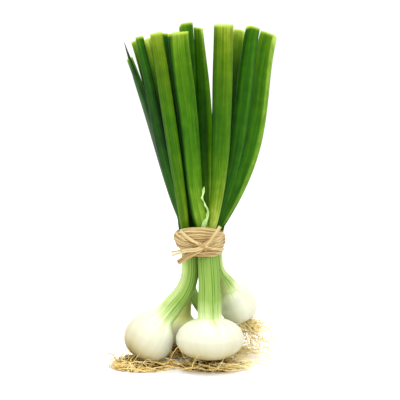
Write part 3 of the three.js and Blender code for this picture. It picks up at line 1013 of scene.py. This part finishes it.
sheath_skin, tree = new_material("pale_sheath_skin")
place = add(tree, "ShaderNodeTexCoord").outputs["Object"]
milky = add(
    tree, "ShaderNodeTexNoise", {"Vector": place, "Scale": 1 / MILKY_PATCH, "Detail": 2.0}
).outputs["Fac"]
pale_green = add(
    tree, "ShaderNodeValToRGB", {"Fac": milky}, [(0.35, "86aa52"), (0.65, "b4cf8c")]
).outputs["Color"]
dried_skin = add(
    tree,
    "ShaderNodeBsdfPrincipled",
    {"Base Color": pale_green, "Roughness": 0.5, "Specular IOR Level": 0.2},
)
add(tree, "ShaderNodeOutputMaterial", {"Surface": dried_skin.outputs["BSDF"]})
print("sheath patches of", MILKY_PATCH / MM, "mm")


# %% The torn strip
# Strip p(s, a) = c(s) + half width * cos a across + 0.22 mm * sin a towards the front. Its middle
# line c lies 0.25 mm in front of an ellipse of half width w and depth 1.12 t round the middle
# line of the left leaf, where w and t are that leaf's own.
SHEATH = [
    # across and up from the tie's middle, and half width, all in mm
    (3.4, 44, 0.1),
    (2.4, 40, 1.4),
    (1.0, 35, 1.5),
    (3.4, 30, 0.9),
    (6.3, 24, 0.9),
    (4.9, 18, 1.7),
    (2.9, 12, 1.9),
    (2.2, 6, 1.9),
]
SHEATH_ROWS, SHEATH_AROUND = 48, 14
SHEATH_THIN = 0.22 * MM  # half its thickness
SHEATH_PROUD = 0.25 * MM  # in front of the ellipse
SHEATH_OUT = 1.12  # how many times deeper than the leaf's own line the ellipse is

leaf_middle, _, leaf_w, leaf_t = leaf_line("leaf_front_left")
marks = smooth_path(np.array(SHEATH) * MM, SHEATH_ROWS)
x, z, half_width = tie[0] + marks[:, 0], tie[2] + marks[:, 1], marks[:, 2]
mid_x, mid_y, w, t = (
    np.interp(z, leaf_middle[:, 2], each) for each in (*leaf_middle.T[:2], leaf_w, leaf_t)
)
edge = np.clip((x - mid_x) / w, -0.95, 0.95)
y = mid_y - t * (1 - edge**2) ** 0.5 * SHEATH_OUT - SHEATH_PROUD
level_y = np.minimum.accumulate(y[::-1])[::-1]  # so that the strip doesn't dip between leaves
path = np.stack([x, level_y * 0.4 + y * 0.6, z], 1)
angle = np.linspace(0, 2 * np.pi, SHEATH_AROUND, endpoint=False)
points = (
    path[:, None]
    + (half_width[:, None] * np.cos(angle))[..., None] * np.array([1.0, 0.25, 0])
    + (SHEATH_THIN * np.sin(angle))[:, None] * np.array([0, -1.0, 0])
)
faces = tube_faces(SHEATH_ROWS, SHEATH_AROUND)
piece("torn_sheath", points.reshape(-1, 3), faces, {}, sheath_skin)

# %% [markdown]
# ## Roots
# The roots are hundreds of thin, dry, curly strands. Where they leave the root plate they are
# crowded and brown with soil, and further out they are straw coloured and tangled. A hair system
# could draw them, but it leaves no mesh behind. So each strand is a thin three-sided tube along
# a wandering path, and all the strands of a clump are worked out at once as one array. A few
# strands that stand out are laid one by one through given places. `tone` says how dark or pale a
# strand is.
# The dark strands under each clump are partly painted shade in the gaps of the tangle.

# %% Root material
# Plant fibre that has dried and still holds some soil: straw coloured, matte, with brown
# blotches, so it takes the light without shine.
BLOTCH = 6 * MM  # size of the browner patches

dry_root, tree = new_material("dry_root_fibre")
tone = add(tree, "ShaderNodeAttribute", attribute_name="tone").outputs["Fac"]
place = add(tree, "ShaderNodeTexCoord").outputs["Object"]
blotch = add(
    tree, "ShaderNodeTexNoise", {"Vector": place, "Scale": 1 / BLOTCH, "Detail": 3.0}
).outputs["Fac"]
shade = add(
    tree, "ShaderNodeMath", {0: blotch, 1: 0.5, 2: tone}, operation="MULTIPLY_ADD"
).outputs[0]
straw = add(
    tree,
    "ShaderNodeValToRGB",
    {"Fac": shade},
    [(0.2, "2c1603"), (0.4, "784a0e"), (0.55, "b58b3c"), (0.75, "dcbd6c"), (1.0, "f5e4aa")],
).outputs["Color"]
root_bump = add(
    tree, "ShaderNodeBump", {"Height": blotch, "Strength": 0.3, "Distance": 0.1 * MM}
).outputs["Normal"]
dry_fibre = add(
    tree,
    "ShaderNodeBsdfPrincipled",
    {"Base Color": straw, "Roughness": 0.62, "Specular IOR Level": 0.1, "Normal": root_bump},
)
add(tree, "ShaderNodeOutputMaterial", {"Surface": dry_fibre.outputs["BSDF"]})
print("root blotches of", BLOTCH / MM, "mm")


# %% Strands along paths
STRAND_ROWS = 18
STRAND_SIDES = 3


def strands(paths, thick):
    """Thin tubes along many paths at once.

    Each ring is a regular triangle square to its path, shaded smooth. Its radius is
    thick * (1 - 0.85 share^3), so a strand keeps its thickness and then ends in a fine point.
    """
    _, out, across = along(paths, (0.31, -0.2, 0.93))
    angle = np.linspace(0, 2 * np.pi, STRAND_SIDES, endpoint=False)
    share = np.linspace(0, 1, paths.shape[1])
    radius = (thick[:, None] * (1 - 0.85 * share**3))[..., None]
    return carried(paths, radius * np.sin(angle), radius * np.cos(angle), across, out)


def wander(rng, count, strength):
    """Smooth random curves, one for each strand: a sum of three sine waves of the share along."""
    share = np.linspace(0, 1, STRAND_ROWS)[None, :, None]
    waves = np.arange(1, 4)
    size = rng.normal(0, strength, (count, 1, 3)) / waves**0.8
    phase = rng.uniform(0, 2 * np.pi, (count, 1, 3))
    return (size * np.sin(2 * np.pi * waves * share * 1.1 + phase)).sum(-1)


def clump(name, groups):
    """One piece of several groups of strands: each is (paths, radius of each, tone of each).

    Strands on the floor get paler from 16 to 44 mm right of the middle, where no soil clings.
    """
    rings = np.concatenate([strands(paths, thick) for paths, thick, _ in groups])
    tones = np.concatenate([tone for _, _, tone in groups])
    points, faces = many_tubes(rings)
    node = "roots_" + name
    paler = 0.4 * ease(16 * MM, 44 * MM, points[:, 0]) * (name != "right")
    layers = {"tone": np.repeat(tones, STRAND_ROWS * STRAND_SIDES) + paler}
    piece(node + "_strands", points, faces, layers, dry_root, [node])


print("a strand has", len(tube_faces(STRAND_ROWS, STRAND_SIDES)), "faces")


# %% Strands laid one by one
LAID_RADIUS = 0.34 * MM


def loop(x, y, z, radius, start, end):
    """Places in mm round an upright loop, from one angle to another in degrees."""
    angle = np.radians(np.linspace(start, end, 7))
    return np.c_[x + radius * np.cos(angle), np.full(7, y), z + radius * np.sin(angle)]


def laid_strands(lists, tone=0.5):
    """A group of strands through the given places: paths, radius of each, tone of each."""
    paths = [smooth_path(np.array(places, float) * MM, STRAND_ROWS) for places in lists]
    tones = tone + 0.2 * np.sin(3.0 * np.arange(len(paths)))
    return np.array(paths), np.full(len(paths), LAID_RADIUS), tones


LOOSE = {
    # strands that stand out of the tangle, each through places in mm; a loop is a middle,
    # a radius and the angles in degrees between which it runs
    "front": [
        [(-3, -32, 3), (-1, -40, 9), (0.5, -45, 15), (5, -46.5, 21)],
        [(17, -32, 3), (20, -41, 9), (22.5, -45.5, 15), (24, -46.5, 18.5)],
        [(-22, -26, 4), (-16, -31, 17), (-12, -32, 22), (-8, -34, 16), (-2, -32, 5)],
        [(-34, -27, 3), (-20, -30, 6.5), (-10, -32, 4), (0, -32, 6), (12, -32, 3.5),
         (24, -32, 6), (38, -32, 2)],
        [(-28, -24, 6), (-14, -30, 9), (-4, -32, 5), (6, -32, 8), (18, -32, 4),
         (30, -32, 7), (42, -28, 2)],
        [(2, -20, 5), (14, -32, 6), (28, -32, 3), (44, -32, 5), (56, -26, 2)],
        [(20, -30, 6), (32, -34, 9), (44, -30, 5), (54, -20, 8), (60, -14, 2)],
    ],
    "left": [
        [(-50, -26, 4), (-48, -30, 9), (-45, -32, 13.5), (-41.7, -32.5, 17.5)],
        [(-52, -26, 4), (-50.5, -30, 9), (-49, -31, 12.5), (-46, -32, 16)],
        [(-48, -28, 3), (-36, -31, 5), (-26, -30, 2.5), (-14, -32, 6), (-2, -32, 3), (8, -32, 5)],
        [(-60, -24, 2), (-50, -32, 5), (-38, -32, 3), (-28, -32, 6), (-18, -28, 2)],
        [(-44, -24, 8), (-34, -30, 10), (-24, -30, 8), (-16, -28, 11), (-8, -28, 6)],
        [(-50, -20, 6), (-56, -21, 4), *loop(-56.7, -20, 12.8, 6.3, -60, 250)],
        [(-48, -20, 5), *loop(-54, -22, 9.5, 4.4, -30, 220)],
        [(-52, -18, 8), *loop(-58, -17, 17.5, 5.5, 20, 200)],
        [(-58, -20, 3), *loop(-67, -20, 8.0, 5.4, 70, 290)],
    ],
    "rear_right": [
        [(50, -4, 6), (55, 0, 9), (63, 0, 5.8), (70, 0, 8.4), (76, 0, 2.5)],
        [(44, -10, 4), (58, -12, 2), (66, -8, 4), (74, -6, 1.5)],
        [(40, 0, 5), (52, -6, 8), (62, -8, 6), (68, -14, 1.5)],
    ],
    "right": [
        [(48, 14, 24), (56, 10, 28), (61, 8, 27), (64, 6, 30), (66, 6, 35)],
        [(52, 12, 20), (60, 5, 16), (66, 5, 18), (72, 4, 14), (75, 3, 10)],
        [(46, 14, 22), (54, 6, 25), (60, 4, 21), (57, 3, 16), (62, 2, 12), (68, 2, 13)],
        [(46, 12, 16), (56, 4, 14), (62, 2, 8), (58, 0, 5), (66, -2, 3)],
        [(46, 14, 22), *loop(57, 7, 22, 6.5, 100, -190)],
        [(46, 14, 20), *loop(63, 5, 24, 5.5, 160, -110)],
        [(47, 13, 18), *loop(55, 6, 13, 6.5, 120, -170)],
        [(48, 12, 18), *loop(64, 4, 14, 6, 150, -140)],
        [(46, 12, 14), *loop(58, 3, 7.5, 5, 140, -100)],
        [(48, 13, 24), *loop(60, 8, 29, 4.5, 190, -60)],
    ],
}
print(sum(len(lists) for lists in LOOSE.values()), "strands are laid by hand")


# %% Strands that lie on the floor
REACH = {
    # packed clump: mm that its strands run past the imported box to the left and to the right,
    # how much paler it is, and how many dark strands lie under it, soil brown and partly painted
    # shade in the gaps of the tangle
    "front": (6, 9, 0.02, 170),
    "left": (4, 10, 0.06, 120),
    "rear_left": (2, 4, -0.1, 60),
    "rear_right": (4, 12, 0.34, 30),
}
STRAND_LAYERS = (
    # strands (0: the clump's own number of dark ones, partly painted shade), height and
    # length in mm, lowest and highest tone, radius in mm
    (0, 2.6, 42, -0.2, 0.02, 0.5),
    (80, 4.5, 55, 0.1, 0.45, 0.42),
    (90, 6.5, 74, 0.36, 0.7, 0.37),
    (24, 10.0, 70, 0.5, 0.8, 0.3),
)
PLATE_SPREAD = 6 * MM  # how widely the strands start round the root plate
HELD_BACK = 3 * MM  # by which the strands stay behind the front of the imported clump
STRAY = 3 * MM  # by which the thinnest strands reach past the others
ABOVE_FLOOR = 0.1 * MM


def floor_strands(rng, count, start, low, high, reach, lift, thick):
    """Strands that leave a root plate, sink to the floor and wander over it.

    Heading = left or right + own direction + wander, and place = start + running sum of steps
    along the heading. The strands are held inside the oval that fits low..high: a distance r
    from its middle, as a share of the oval's own reach, becomes r / (1 + r^4)^(1/4), which never
    passes 1. The height sinks from the plate to a part of `lift`, with a small wave.
    """
    heading = np.pi * rng.integers(0, 2, (count, 1)) + rng.normal(0, 0.75, (count, 1))
    heading = heading + wander(rng, count, 1.1)
    step = rng.uniform(0.45, 1.0, (count, 1)) * reach / STRAND_ROWS
    x = start[0] + rng.normal(0, PLATE_SPREAD, (count, 1)) + np.cumsum(step * np.cos(heading), 1)
    y = start[1] + rng.normal(0, PLATE_SPREAD, (count, 1)) + np.cumsum(step * np.sin(heading), 1)
    middle, half = (low + high) / 2, (high - low) / 2
    far = np.hypot((x - middle[0]) / half[0], (y - middle[1]) / half[1])
    held = (1 + far**4) ** -0.25
    x, y = middle[0] + (x - middle[0]) * held, middle[1] + (y - middle[1]) * held
    share = np.linspace(0, 1, STRAND_ROWS)[None, :]
    sink = np.exp(-share / rng.uniform(0.06, 0.2, (count, 1)))
    rest = rng.uniform(0.15, 1, (count, 1)) ** 1.4 * lift
    wave = wander(rng, count, 0.16) * lift
    z = start[2] * sink + (1 - sink) * (rest + wave)
    z = np.maximum(z, thick[:, None] + ABOVE_FLOOR)
    return np.stack([x, y, z], -1)


for seed, (name, (more_left, more_right, paler, dark_soil_and_shade)) in enumerate(REACH.items()):
    rng = np.random.default_rng(40 + seed)
    low, high = (np.array(corner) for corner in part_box("roots_" + name))
    low[1] += HELD_BACK
    plate = spines[name][0][0]
    middle = (low + high) / 2
    start = np.array([0.5 * (plate[0] + middle[0]), 0.5 * (plate[1] + middle[1]), plate[2]])
    wide_low = low - np.array([more_left, 0, 0]) * MM
    wide_high = high + np.array([more_right, 0, 0]) * MM
    boxes = (
        (low * 0.9 + middle * 0.1, high * 0.9 + middle * 0.1),
        (low, high),
        (wide_low, wide_high),
        (wide_low - STRAY, wide_high + STRAY),
    )
    groups = []
    for box, (count, lift, reach, tone_low, tone_high, fat) in zip(boxes, STRAND_LAYERS):
        count = count or dark_soil_and_shade
        thick = rng.uniform(0.7, 1.1, count) * fat * MM
        paths = floor_strands(rng, count, start, *box, reach * MM, lift * MM, thick)
        groups.append((paths, thick, rng.uniform(tone_low, tone_high, count) + paler))
    if name in LOOSE:
        groups.append(laid_strands(LOOSE[name]))
    clump(name, groups)


# %% The hanging tuft
TUFT_LAYERS = (
    # strands, length in mm, how much they curl, lowest and highest tone, radius in mm
    (36, 26, 1.4, 0.5, 0.8, 0.44),
    (84, 42, 2.2, 0.6, 0.95, 0.38),
    (26, 50, 1.8, 0.5, 0.8, 0.28),
)
TUFT_SPREAD = 2.2 * MM  # how widely the strands start round the root plate
LOWEST = 1.0 * MM  # above the floor


def hanging_strands(rng, count, start, towards, reach, curl):
    """Strands that fall from a raised root plate.

    Direction = the tuft's own direction + each strand's own + a random turn that grows along
    the strand + a droop, then place = start + running sum of steps, and never below LOWEST.
    """
    share = np.linspace(0, 1, STRAND_ROWS)[None, :, None]
    own = rng.normal(0, 0.85, (count, 1, 3))
    bend = np.stack([wander(rng, count, curl) for _ in range(3)], -1)
    droop = np.array([0, 0, -0.5]) * share
    direction = unit(np.asarray(towards) + own + bend * (0.3 + share) + droop)
    length = rng.uniform(0.35, 1.0, (count, 1, 1)) * reach
    first = start + rng.normal(0, TUFT_SPREAD, (count, 1, 3))
    paths = first + np.cumsum(direction * length / STRAND_ROWS, 1)
    paths[..., 2] = np.maximum(paths[..., 2], LOWEST)
    return paths


rng = np.random.default_rng(77)
plate = spines["right"][0][0]
low, high = (np.array(corner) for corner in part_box("roots_right"))
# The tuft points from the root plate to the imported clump's low right end, turned further right.
low_end = np.array([high[0] - 6 * MM, (low[1] + high[1]) / 2, low[2]])
downwards = unit(unit(low_end - plate) + np.array([0.8, -0.1, 0.1]))
groups = []
for count, reach, curl, tone_low, tone_high, fat in TUFT_LAYERS:
    thick = rng.uniform(0.7, 1.1, count) * fat * MM
    paths = hanging_strands(rng, count, plate, downwards, reach * MM, curl)
    groups.append((paths, thick, rng.uniform(tone_low, tone_high, count)))
groups.append(laid_strands(LOOSE["right"], tone=0.78))
clump("right", groups)


# %% [markdown]
# ## Raffia
# Raffia is the dried skin of a palm leaf, split into flat strips: tan, matte with a slight
# sheen, with fine lengthwise fibres. The band is many turns of such strips, crossing a little,
# drawn together at the knot. A patterned ring would look like tape from the side, so every turn
# is a strip of its own: a thin flat tube, crinkled across its width. `tone` makes one strip
# darker or paler than the next, and `grain` is a place on the unrolled strip.

# %% Raffia material
# Dried palm leaf: the fibres catch the light one by one, so the strip looks streaky and dry,
# brown between the fibres and pale on top of them.
FIBRE = 0.75 * MM  # coarser than real, so that it shows

raffia_strip, tree = new_material("raffia_strip")
grain = add(tree, "ShaderNodeAttribute", attribute_name="grain").outputs["Vector"]
tone = add(tree, "ShaderNodeAttribute", attribute_name="tone").outputs["Fac"]
stretch = add(
    tree,
    "ShaderNodeVectorMath",
    {0: grain, 1: (1 / FIBRE, 1 / FIBRE, 1 / (40 * FIBRE))},
    operation="MULTIPLY",
).outputs[0]
fibres = add(
    tree, "ShaderNodeTexNoise", {"Vector": stretch, "Scale": 0.9, "Detail": 4.0, "Roughness": 0.65}
).outputs["Fac"]
shade = add(
    tree, "ShaderNodeMath", {0: fibres, 1: 1.3, 2: tone}, operation="MULTIPLY_ADD"
).outputs[0]
tan = add(
    tree,
    "ShaderNodeValToRGB",
    {"Fac": shade},
    [(0.42, "4a2e0c"), (0.62, "876430"), (0.84, "ad9158"), (1.0, "cbb782")],
).outputs["Color"]
raffia_bump = add(
    tree, "ShaderNodeBump", {"Height": fibres, "Strength": 0.45, "Distance": 0.25 * MM}
).outputs["Normal"]
dried_palm = add(
    tree,
    "ShaderNodeBsdfPrincipled",
    {"Base Color": tan, "Roughness": 0.55, "Normal": raffia_bump},
)
add(tree, "ShaderNodeOutputMaterial", {"Surface": dried_palm.outputs["BSDF"]})
print("raffia fibres every", FIBRE / MM, "mm")


# %% Flat strips along paths
STRIP_AROUND = 20


def strip_rings(path, look, width, thick, crinkle, seed):
    """Rings of a flat strip, and its grain.

    Each ring is width/2 * cos a across and thick/2 * sin a out, plus half the crinkle times two
    waves over the width, cos(k pi cos a + a drift that swings along the strip).
    """
    rng = np.random.default_rng(seed)
    _, out, across = along(path, look)
    angle = np.linspace(2 * np.pi, 0, STRIP_AROUND, endpoint=False)
    u = np.cos(angle)[None, :]
    s = np.linspace(0, 1, len(path))[:, None]
    wave = 0
    for k, swings in ((1.3, 1.0), (2.4, 1.7)):
        drift = rng.uniform(0, 6.28)
        swing = 2.5 * np.sin(6.28 * swings * s + rng.uniform(0, 6.28))
        wave = wave + np.cos(k * np.pi * u + drift + swing)
    wide = np.broadcast_to(width, len(path))[:, None] / 2 * u
    lift = thick / 2 * np.sin(angle)[None, :] + crinkle * wave / 2
    moved = 0.013 * (seed % 97)
    grain = vectors(lift.shape, wide + moved, 0.0, distances(path)[:, None])
    return carried(path, wide, lift, across, out), grain


def strips(name, made, node):
    """One piece of several strips; `made` holds (path, look, width, thick, crinkle, tone, seed)."""
    points, faces, grains, tones = [], [], [], []
    for path, look, width, thick, crinkle, tone, seed in made:
        rings, grain = strip_rings(path, look, width, thick, crinkle, seed)
        faces += tube_faces(len(path), STRIP_AROUND, sum(map(len, points)))
        points.append(rings.reshape(-1, 3))
        grains.append(grain)
        tones.append(np.full(len(grain), tone))
    layers = {"grain": np.concatenate(grains), "tone": np.concatenate(tones)}
    piece(name, np.concatenate(points), faces, layers, raffia_strip, [node])


print("strips have", STRIP_AROUND, "points round")


# %% The turns of the band
# Each turn's height in mm above the tie's middle, at the left edge and then every 30 degrees
# round the front to the right edge; then its width in mm, its tone, and how many mm it lies
# outwards. The last four are broad and dark, painted shade that fills the gaps from behind.
TURNS = [
    ((7.4, 8.9, 12.2, 13.0, 11.2, 8.2, 7.0), 2.2, 0.34, -0.5),
    ((6.7, 8.1, 11.2, 12.0, 10.2, 7.6, 6.4), 1.9, 0.12, 0.0),
    ((6.0, 7.4, 10.2, 10.9, 9.2, 7.0, 5.8), 2.0, 0.32, 0.3),
    ((5.4, 6.8, 8.9, 9.6, 8.2, 6.4, 4.8), 1.9, 0.04, 0.1),
    ((4.8, 6.0, 7.6, 8.2, 7.2, 5.8, 4.2), 2.0, 0.26, 0.4),
    ((4.4, 5.2, 6.4, 6.8, 6.0, 5.0, 3.6), 1.9, 0.1, 0.2),
    ((4.0, 4.4, 5.0, 5.2, 4.8, 4.4, 3.2), 1.9, 0.22, 0.2),
    ((3.4, 3.6, 3.6, 3.8, 3.6, 3.6, 2.8), 2.0, 0.02, 0.1),
    ((2.6, 2.6, 2.2, 2.4, 2.4, 2.8, 2.2), 2.0, 0.16, 0.2),
    ((6.9, 5.6, 1.8, -1.2, 1.8, 5.0, 5.6), 2.3, 0.26, 0.9),
    ((5.2, 3.8, 1.0, -1.4, 1.2, 4.0, 4.6), 2.0, 0.04, 1.0),
    ((3.6, 2.4, 0.4, -1.6, 0.6, 2.8, 3.4), 2.2, 0.32, 1.2),
    ((2.0, 1.0, -0.4, -1.9, 0.0, 1.6, 2.2), 2.0, 0.1, 1.1),
    ((0.4, -0.4, -1.2, -2.2, -0.8, 0.4, 0.9), 2.2, 0.28, 1.3),
    ((-1.4, -1.6, -2.0, -2.6, -1.6, -0.9, -0.5), 2.1, -0.04, 1.1),
    ((-3.0, -2.8, -2.8, -3.0, -2.4, -2.1, -1.9), 2.2, 0.2, 1.2),
    ((-4.2, -4.0, -3.8, -3.8, -3.8, -4.2, -3.8), 2.3, 0.3, 1.0),
    ((-5.4, -5.4, -5.0, -5.0, -5.4, -6.2, -5.8), 2.3, -0.04, 0.6),
    ((-6.4, -6.8, -6.6, -6.4, -6.8, -7.8, -7.4), 2.2, 0.22, 0.8),
    ((-7.2, -8.0, -8.0, -7.8, -8.0, -8.9, -8.6), 2.2, 0.08, 0.4),
    ((-6.6, -7.4, -8.4, -8.9, -9.0, -9.6, -9.2), 2.0, 0.26, 0.2),
    # painted shade: broad dark turns that lie inside the others and darken the gaps between them
    ((3.2, 3.0, 2.6, 2.4, 2.6, 2.8, 2.0), 4.4, -0.2, -0.6),
    ((-2.6, -3.0, -3.0, -2.4, -1.8, -2.0, -2.6), 4.0, -0.2, -0.9),
    ((6.6, 7.4, 8.0, 8.0, 7.4, 6.6, 5.8), 4.4, -0.2, -0.8),
    ((-5.2, -6.0, -6.4, -6.2, -6.2, -6.4, -6.0), 4.0, -0.2, -1.2),
]
print(len(TURNS), "turns")


# %% The wound band
TURN_ROWS = 150
TURN_THICK, TURN_CRINKLE = 1.3 * MM, 0.6 * MM
BAND_SHIFT = -1.6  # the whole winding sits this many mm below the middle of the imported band
BACK_LOW, BACK_RANGE = -9, 18  # mm, between which the turns lie at the back
PINCHED = range(9, 16)  # the turns that run under the knot


def band_radius(angle, z):
    """Distance from the tie's middle at an angle and at a height z in mm.

    Read off along the height for the left and the right side, drawn in at the lower left, then
    blended by cos a from one side to the other, and to an even 20.2 mm at the front.
    """
    z = z + BAND_SHIFT
    heights = (-12, -8, -5, 0, 5, 8, 11)
    left = np.interp(z, heights, (13.5, 15.2, 17.6, 19.4, 19.0, 16.8, 15.5))
    right = np.interp(z, heights, (17.2, 17.4, 18.2, 19.0, 18.4, 17.0, 15.5))
    share = ease(-1, 1, np.cos(angle))
    sides = left * (1 - share) + right * share
    front = ease(0.35, 0.95, -np.sin(angle))
    return (sides * (1 - front) + 20.2 * front) * MM


def turn(rng, i):
    """One turn of the band: a closed ring round the tie that starts at the back.

    Its height goes through the turn's marks, round a back that steps through its range by the
    golden ratio so that no two turns lie alike, softened, with two small waves. The seven turns
    under the knot narrow by up to 35% where it draws them together.
    """
    heights, width, tone, lift = TURNS[i]
    back = BACK_LOW + BACK_RANGE * ((i * 0.618) % 1)
    marks = np.radians([180, 210, 240, 270, 300, 330, 360, 405, 450, 495])
    levels = np.r_[heights, 0.5 * (heights[-1] + back), back, 0.5 * (heights[0] + back)]
    angle = np.pi + rng.uniform(0.2, 0.8) + np.linspace(0, 2 * np.pi - 0.02, TURN_ROWS)
    z = np.interp(angle, np.r_[marks, marks + 2 * np.pi], np.r_[levels, levels])
    z = soften(np.pad(z, 12, mode="wrap")[:, None], 6)[12:-12, 0]
    z = z + 0.18 * np.sin(4 * angle + 2 * i) + 0.1 * np.sin(9 * angle + i)
    radius = band_radius(angle, z) + (lift - 0.4 + 0.2 * np.sin(5 * angle + i)) * MM
    x, y = radius * np.cos(angle), radius * np.sin(angle)
    path = tie + np.stack([x, y, (z + BAND_SHIFT) * MM], 1)
    look = np.stack([np.cos(angle), np.sin(angle), 0.04 * z], 1)
    to_knot = np.exp(-(((np.cos(angle) * 20 - 4) / 6) ** 2)) * (np.sin(angle) < 0)
    pinch = 1 - 0.35 * to_knot * (i in PINCHED)
    return path, look, width * pinch * MM, TURN_THICK, TURN_CRINKLE, tone, 100 + i


rng = np.random.default_rng(5)
strips("raffia_band_turns", [turn(rng, i) for i in range(len(TURNS))], "raffia_band")

# %% The knot
FRONT_RADIUS = 21.2 * MM  # of the round front that the knot's strips lie on
KNOT_SHIFT = (-1.7, 0.6, 0.0)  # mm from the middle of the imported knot
KNOT_ROWS = 70
KNOT_CRINKLE = 0.4 * MM
FLAT, FOLDED = 0.6, 1.3  # mm thick

knot = np.mean(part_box("raffia_knot"), axis=0)


def strip_through(width, tone, seed, places, thick=FLAT):
    """A strip laid over the band, through places given as mm right of the knot, mm above it and
    mm that it stands out from the band's front, a circle of FRONT_RADIUS round the tie."""
    right, above, proud = (np.array(places, float).T + np.array(KNOT_SHIFT)[:, None]) * MM
    x = knot[0] + right - tie[0]
    y = -np.sqrt(np.maximum(FRONT_RADIUS**2 - x**2, 0)) - proud
    path = smooth_path(np.stack([tie[0] + x, tie[1] + y, knot[2] + above], 1), KNOT_ROWS)
    look = unit((path - tie) * [1, 1, 0])
    return path, look, width * MM, thick * MM, KNOT_CRINKLE, tone, seed


over_knot = [
    strip_through(2.2, 0.26, 301, [
        (-15, -4.6, 0.2), (-8, -3.0, 0.8), (-3, -1.0, 1.6), (1.2, 1.8, 2.0), (5, 4.6, 0.6),
    ]),
    strip_through(2.3, 0.34, 302, [
        (-18, 11.0, -1.4), (-12, 6.2, 0.4), (-6, 3, 0.9), (-0.5, 0, 2.0), (4, -1.8, 1.4),
        (9, -3.2, 0.8), (14, -4.4, -0.2), (16.5, -5.0, -1.8),
    ]),
    strip_through(2.9, 0.14, 303, [
        (-4.6, 2.2, -0.6), (-2.4, 1.8, 2.0), (0.4, -0.4, 2.9), (2.0, -2.6, 1.8), (1.4, -4.0, -0.6),
    ], FOLDED),
    strip_through(2.6, 0.34, 304, [
        (-4.8, -2.4, -0.6), (-2.4, -2.0, 1.7), (1.4, -0.2, 2.5), (3.4, 1.8, 1.6), (4.0, 3.0, -0.6),
    ], FOLDED),
    strip_through(1.8, 0.04, 305, [
        (-14, 2.4, 0.2), (-8, 1.0, 0.8), (-3, 0, 1.2), (1.5, -1.2, 1.7), (6, -3.2, 1.3),
        (12, -5.2, 0.4),
    ]),
    strip_through(1.8, 0.14, 306, [
        (-12, -7.4, 0.2), (-6, -5.0, 0.9), (-1.5, -2.6, 1.6), (3, -0.6, 1.2), (9, 1.6, 0.6),
    ]),
]
strips("raffia_knot_strips", over_knot, "raffia_knot")


# %% The loose ends
TAIL_ROWS = 50
TAIL_THICK, TAIL_CRINKLE = 0.5 * MM, 0.4 * MM
TAIL_START = (-1.7, -0.5, 0.4)  # mm from the knot's middle, towards which the ends begin


def tail_path(node):
    """Middle line of a packed end, from the knot outwards.

    Its corners are sorted by their share along the longest axis, and six means taken; the one
    at the knot is then drawn most of the way to the knot's middle.
    """
    corners = triangles(node).reshape(-1, 3)
    centre = corners.mean(0)
    _, _, axes = np.linalg.svd(corners - centre, full_matrices=False)
    share = (corners - centre) @ axes[0]
    marks = np.linspace(share.min(), share.max(), 6)
    line = np.array([corners[np.abs(share - m) <= np.ptp(share) / 8].mean(0) for m in marks])
    if np.linalg.norm(line[0] - knot) > np.linalg.norm(line[-1] - knot):
        line = line[::-1]
    line[0] = line[0] * 0.3 + (knot + np.array(TAIL_START) * MM) * 0.7
    return smooth_path(line, TAIL_ROWS)


TAILS = {
    # node: (width in mm, tone, how far apart its two split strips end in mm)
    "raffia_tail_up": (1.5, 0.3, 0.05),
    "raffia_tail_left_upper": (1.6, 0.38, 0.9),
    "raffia_tail_left_lower": (2.1, 0.08, 0.1),
}
for seed, (node, (width, tone, part)) in enumerate(TAILS.items()):
    path = tail_path(node)
    side = unit(np.cross(path[-1] - path[0], [0, 1.0, 0]))
    share = np.linspace(0, 1, TAIL_ROWS)[:, None]
    apart = side * (0.42 * width + part * share**4) * MM
    pair = [
        (path + apart * sign, (0.0, -1.0, 0.1), width * MM, TAIL_THICK, TAIL_CRINKLE,
         tone + 0.06 * sign, 400 + 10 * seed + sign)
        for sign in (-1, 1)
    ]
    strips(node + "_strips", pair, node)
